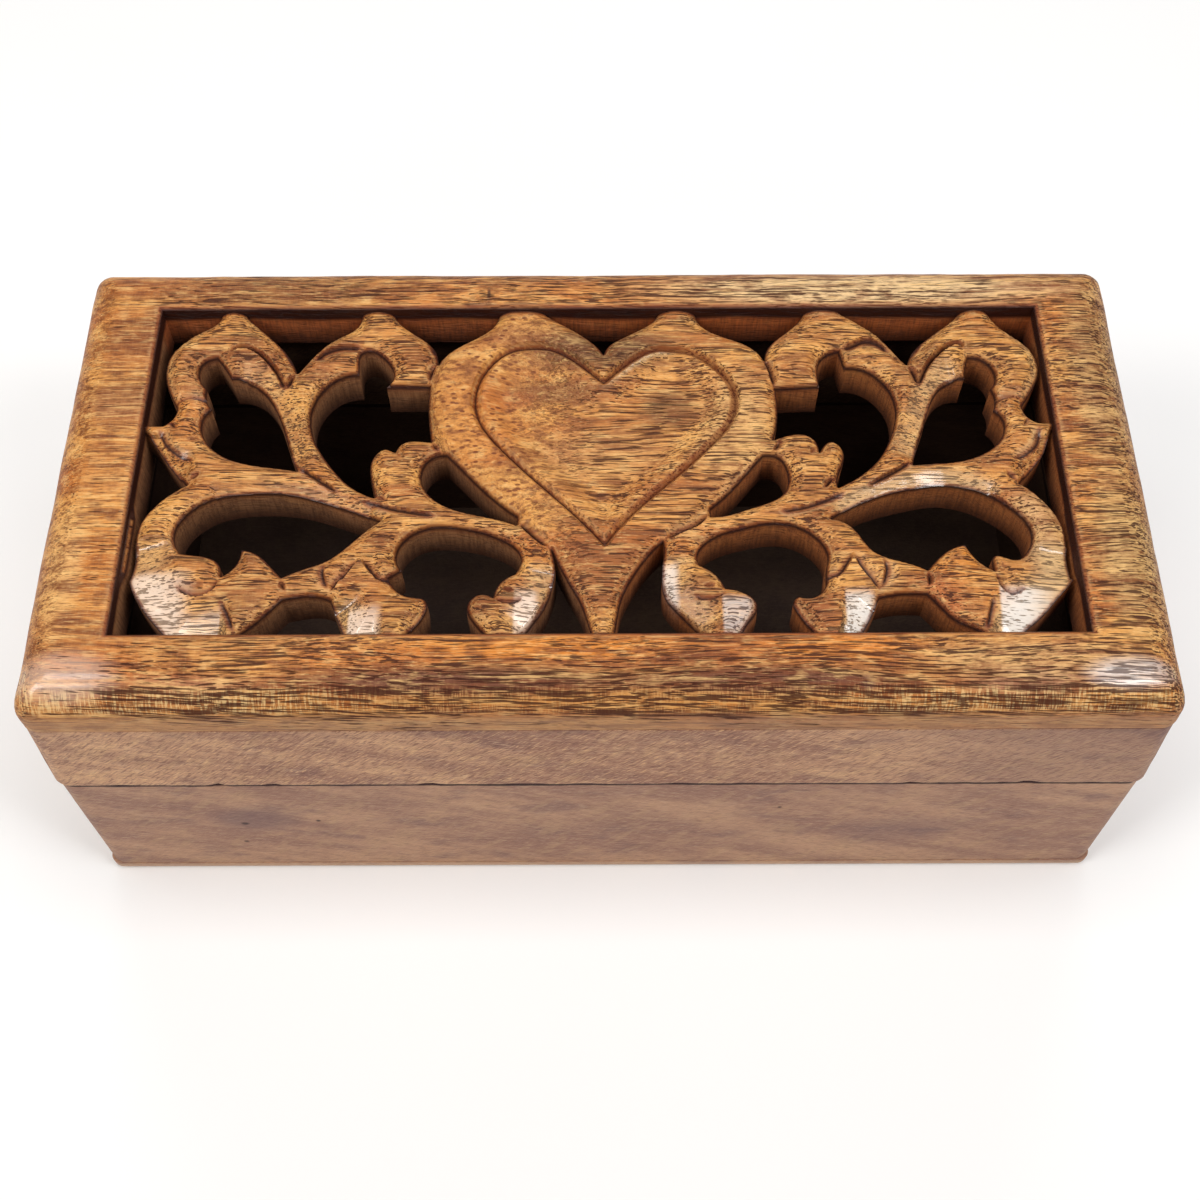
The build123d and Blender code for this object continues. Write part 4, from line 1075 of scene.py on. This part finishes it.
    relief = 0.10 * fibre + 0.14 * mottle - 0.14 * pores + 0.06 * hatch * sawn
    coat = (shine * shine).most(0.8 * rubbed_and_highlit) * (1 - 0.8 * pores)
    return f.close(colour, rough, relief, coat=coat, coat_rough=0.14)


# Marks on the base's front: centre and reach in mm, strength, colour
SMOKE, KNOT = (104, 78, 82), (58, 32, 30)
MARKS = [
    ((-66, -47, 26), (12, 6, 8), 0.5, SMOKE), ((58, -47, 20), (16, 6, 9), 0.3, SMOKE),
    ((-68.5, -47, 23.8), (1.1, 3, 0.9), 0.9, KNOT), ((-54.2, -47, 25), (0.7, 3, 0.7), 0.9, KNOT),
    ((-70, -47, 14.5), (0.8, 3, 0.6), 0.9, KNOT), ((34, -47, 31), (0.6, 3, 0.5), 0.9, KNOT),
]


def plain_side_wood(name, turned):
    """The rails and walls: duller mauve brown, short slanting flecks, painted dark inside the box as shade.

    The lid's band is flecked and painted darker towards the right as shade, the base is smoother and darker,
    and a painted shadow line runs along the seam.
    """
    f = Finish(name)
    world = f.places()
    place = f.places(turned)
    run = grain(f, place, 0.15)
    across, along, height = f.axes(world)
    low = 1 - height.rising(SEAM - 0.4, SEAM + 0.2)
    meeting = (height - SEAM).size().rising(0.16, 0.04)
    slant, tilted = (f.node("Mapping", inputs={0: place, 2: (0, lean, 0)}) for lean in (0.8, -0.35))
    bands = f.noise(tilted, (34, 9, 6.5), 2, 2, 0.55)
    patches = f.noise(place, (13, 8, 6), 3, 3, 0.6)
    flecks = f.noise(slant, (2.4, 0.5, 0.34), 4, 2, 0.6)
    fibre = f.noise(run, (2.2, 0.4, 0.30), 5, 3, 0.7)
    figure = f.noise(slant, (7, 6, 2.2), 6)
    specks = 1 - f.cells(slant, (1.9, 0.8, 0.5), 7).rising(0.08, 0.2)
    sparse = f.noise(place, (12, 8, 8), 8, 1).rising(0.45, 0.62) * (1 - meeting)
    under = height.rising(UNDERSIDE - 5, UNDERSIDE) * 0.35
    # A painted shadow line along the seam, wavering, where the lid's edge overhangs the base.
    waver = f.noise(place, (3.2, 3.2, 3.2), 12) - 0.5
    line = 1 - (height - (SEAM - 0.65) + 0.6 * waver).size().rising(0.35, 0.7)
    painted_inner_shade = across.size().rising(INNER_X + 0.6, INNER_X + 0.1)
    painted_inner_shade = painted_inner_shade * along.size().rising(INNER_Y + 0.4, INNER_Y - 0.05)
    colour = f.coats(
        f.mix(bands.rising(0.3, 0.7), paint(204, 156, 118), paint(160, 114, 90)),
        (patches.rising(0.5, 0.72) * 0.65, 126, 88, 80), (figure.rising(0.5, 0.7) * 0.4, 204, 162, 116),
        (flecks.rising(0.52, 0.64) * (0.6 - 0.4 * low) * (1 - 0.8 * meeting), 112, 68, 56),
        (flecks.rising(0.44, 0.33) * (0.6 - 0.35 * low) * (1 - 0.8 * meeting), 226, 180, 130),
        (fibre.rising(0.5, 0.68) * 0.55, 118, 78, 64), (fibre.rising(0.47, 0.32) * 0.5, 216, 178, 140),
        (specks * sparse * (0.45 - 0.3 * low), 84, 50, 44), (low * 0.26, 122, 96, 92),
        # Painted shade: the lid's band darker towards the right.
        (across.rising(35, 85) * (0.42 - 0.42 * low), 116, 84, 80),
        (height.rising(3.4, 1.6) * 0.45, 216, 182, 152), (under * patches.rising(0.35, 0.6), 110, 72, 66),
        *((f.spot(world, centre, reach) * strength, *shade) for centre, reach, strength, shade in MARKS),
        (line * (1 - meeting), 48, 10, 8), (painted_inner_shade * height.rising(2.6, 3) * 0.86, 34, 20, 14))
    return f.close(colour, 0.5 + 0.18 * fibre, 0.06 * fibre + 0.08 * flecks)


def worn_brass():
    """Hinge brass: warm yellow, dulled in patches, with fine scratches along X."""
    f = Finish("worn_brass")
    place = f.places()
    dull = f.noise(place, (3.5, 3.5, 3.5), 1, 4, 0.6)
    scratch = f.noise(place, (6, 0.12, 0.12), 2, 3, 0.6)
    colour = f.mix(dull.rising(0.35, 0.7), paint(214, 172, 92), paint(146, 106, 54))
    colour = f.coats(colour, (scratch.rising(0.6, 0.8) * 0.4, 236, 204, 132))
    return f.close(colour, 0.26 + 0.3 * dull, 0.01 * scratch + 0.01 * dull, metallic=1)


def dull_steel():
    """The brads' steel: grey with brown bloom."""
    f = Finish("dull_steel")
    bloom = f.noise(f.places(), (0.9, 0.9, 0.9), 1, 4, 0.6)
    colour = f.mix(bloom.rising(0.45, 0.7), paint(150, 148, 144), paint(96, 74, 60))
    return f.close(colour, 0.35 + 0.35 * bloom, 0.02 * bloom, metallic=0.9)


def pale_floor():
    """The studio's floor: near white with the faintest tone."""
    f = Finish("pale_floor")
    tone = f.noise(f.places(), (140, 140, 140), 1, 2)
    return f.close(f.mix(tone, paint(246, 246, 245), paint(250, 250, 250)), 0.8)


# ---- the pieces


def stand(piece, body, slot, material, *nodes):
    """Puts a piece in place of its nodes on one body, with its finish."""
    piece.data.materials.clear()
    piece.data.materials.append(material)
    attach(piece, body)
    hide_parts(*nodes)


carved = waxed_carved_wood()
side_x = plain_side_wood("side_wood_long", False)
side_y = plain_side_wood("side_wood_short", True)
brass = worn_brass()
steel = dull_steel()

stand(carved_board(), "lid", "carved_wood", carved, "lid_carved_panel")

seed = 0
for body, kind, length, depth, levels in (
    ("lid", "rail", LID_LENGTH, LID_DEPTH, (SEAM, UNDERSIDE, LID_EDGES)),
    ("base", "wall", BASE_LENGTH, BASE_DEPTH, (FLOOR, SEAM, BASE_EDGES)),
):
    for direction in ("front", "left", "right"):
        node = f"{body}_{direction}_{kind}"
        front = direction == "front"
        measures = (length, depth, INNER_Y) if front else (depth, length, INNER_X)
        wall = mitred_wall("shaped_" + node, direction, *measures, *levels, seed)
        stand(wall, body, body + "_wood", side_x if front else side_y, node)
        seed += 10

eased = [
    ("lid_back_rail", "lid", "lid_wood", side_x, 0.4), ("base_back_wall", "base", "base_wood", side_x, 0.4),
    ("base_bottom_panel", "base", "panel_wood", side_x, 0.25),
]
for body in ("lid", "base"):
    eased += [(f"hinge_{side}_{body}_leaf", body, "brass", brass, 0.12) for side in ("left", "right")]
for node, body, slot, material, width in eased:
    stand(eased_copy("eased_" + node, node, width), body, slot, material, node)

for node, material in (
    ("hinge_left_pin", brass), ("hinge_right_pin", brass), ("lid_hinge_screws", brass),
    ("base_hinge_screws", brass), ("bottom_panel_brads", steel),
):
    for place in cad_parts[node].material_slots:
        place.material = material

# ---- floor, light and camera


def studio_floor():
    """A broad flat grid under the box."""
    places = np.linspace(-2.5, 2.5, 21) / MM
    x, y = np.meshgrid(places, places)
    corners = np.column_stack([x.ravel(), y.ravel(), np.full(x.size, -0.05)])
    index = np.arange(x.size).reshape(x.shape)
    quads = np.stack([index[:-1, :-1], index[:-1, 1:], index[1:, 1:], index[1:, :-1]], 2)
    floor = surface("studio_floor", corners, quads.reshape(-1, 4), np.zeros((0, 3), int))
    floor.data.materials.append(pale_floor())


def softbox(name, place, target, size, power, colour):
    """A square light at a place, turned to face its target."""
    lamp = bpy.data.lights.new(name + "_softbox", "AREA")
    lamp.shape = "RECTANGLE"
    lamp.size, lamp.size_y = size
    lamp.energy = power
    lamp.color = colour
    holder = placed(lamp.name, lamp)
    holder.location = place
    x, y, z = np.array(target, float) - place
    holder.rotation_euler = (np.arctan2(np.hypot(x, y), -z), 0, np.arctan2(x, -y) + np.pi)


studio_floor()
softbox("left", (-0.62, -0.34, 0.78), (0, 0, 0.04), (0.36, 0.36), 3.3, (1, 0.975, 0.94))
softbox("right", (0.66, -0.3, 0.76), (0, 0, 0.04), (0.32, 0.32), 2.5, (0.98, 0.985, 1))
softbox("front", (0, -1.1, 0.7), (0, 0, 0.03), (0.9, 0.4), 1.45, (1, 0.99, 0.98))
softbox("top", (0, 0.02, 0.95), (0, -0.02, 0.05), (0.9, 0.26), 3.8, (1, 0.98, 0.97))
softbox("left_corner", (-0.38, -0.29, 0.78), (-0.09, -0.043, 0.075), (0.16, 0.16), 0.35, (1, 0.97, 0.95))
softbox("right_corner", (0.36, -0.3, 0.78), (0.09, -0.043, 0.075), (0.13, 0.13), 0.6, (1, 1, 1))
softbox("floor", (0, 1.1, 0.9), (0, 0.75, 0), (1.2, 0.5), 6, (1, 1, 1))

world = bpy.data.worlds.new("studio")
world.use_nodes = True
background = world.node_tree.nodes["Background"]
background.inputs[0].default_value = (1, 1, 1, 1)
background.inputs[1].default_value = 0.14
bpy.context.scene.world = world
bpy.context.scene.view_settings.view_transform = "Standard"

lens = bpy.data.cameras.new("camera")
lens.lens = 48.05
lens.sensor_width = 36
lens.shift_x = 0.0006
lens.clip_start = 0.01
camera = placed("camera", lens)
camera.location = (0, -0.16595, 0.31285)
tilt, roll = np.radians(30.146), np.radians(-0.205)
camera.rotation_euler = (Matrix.Rotation(tilt, 3, "X") @ Matrix.Rotation(roll, 3, "Z")).to_euler()
bpy.context.scene.camera = camera
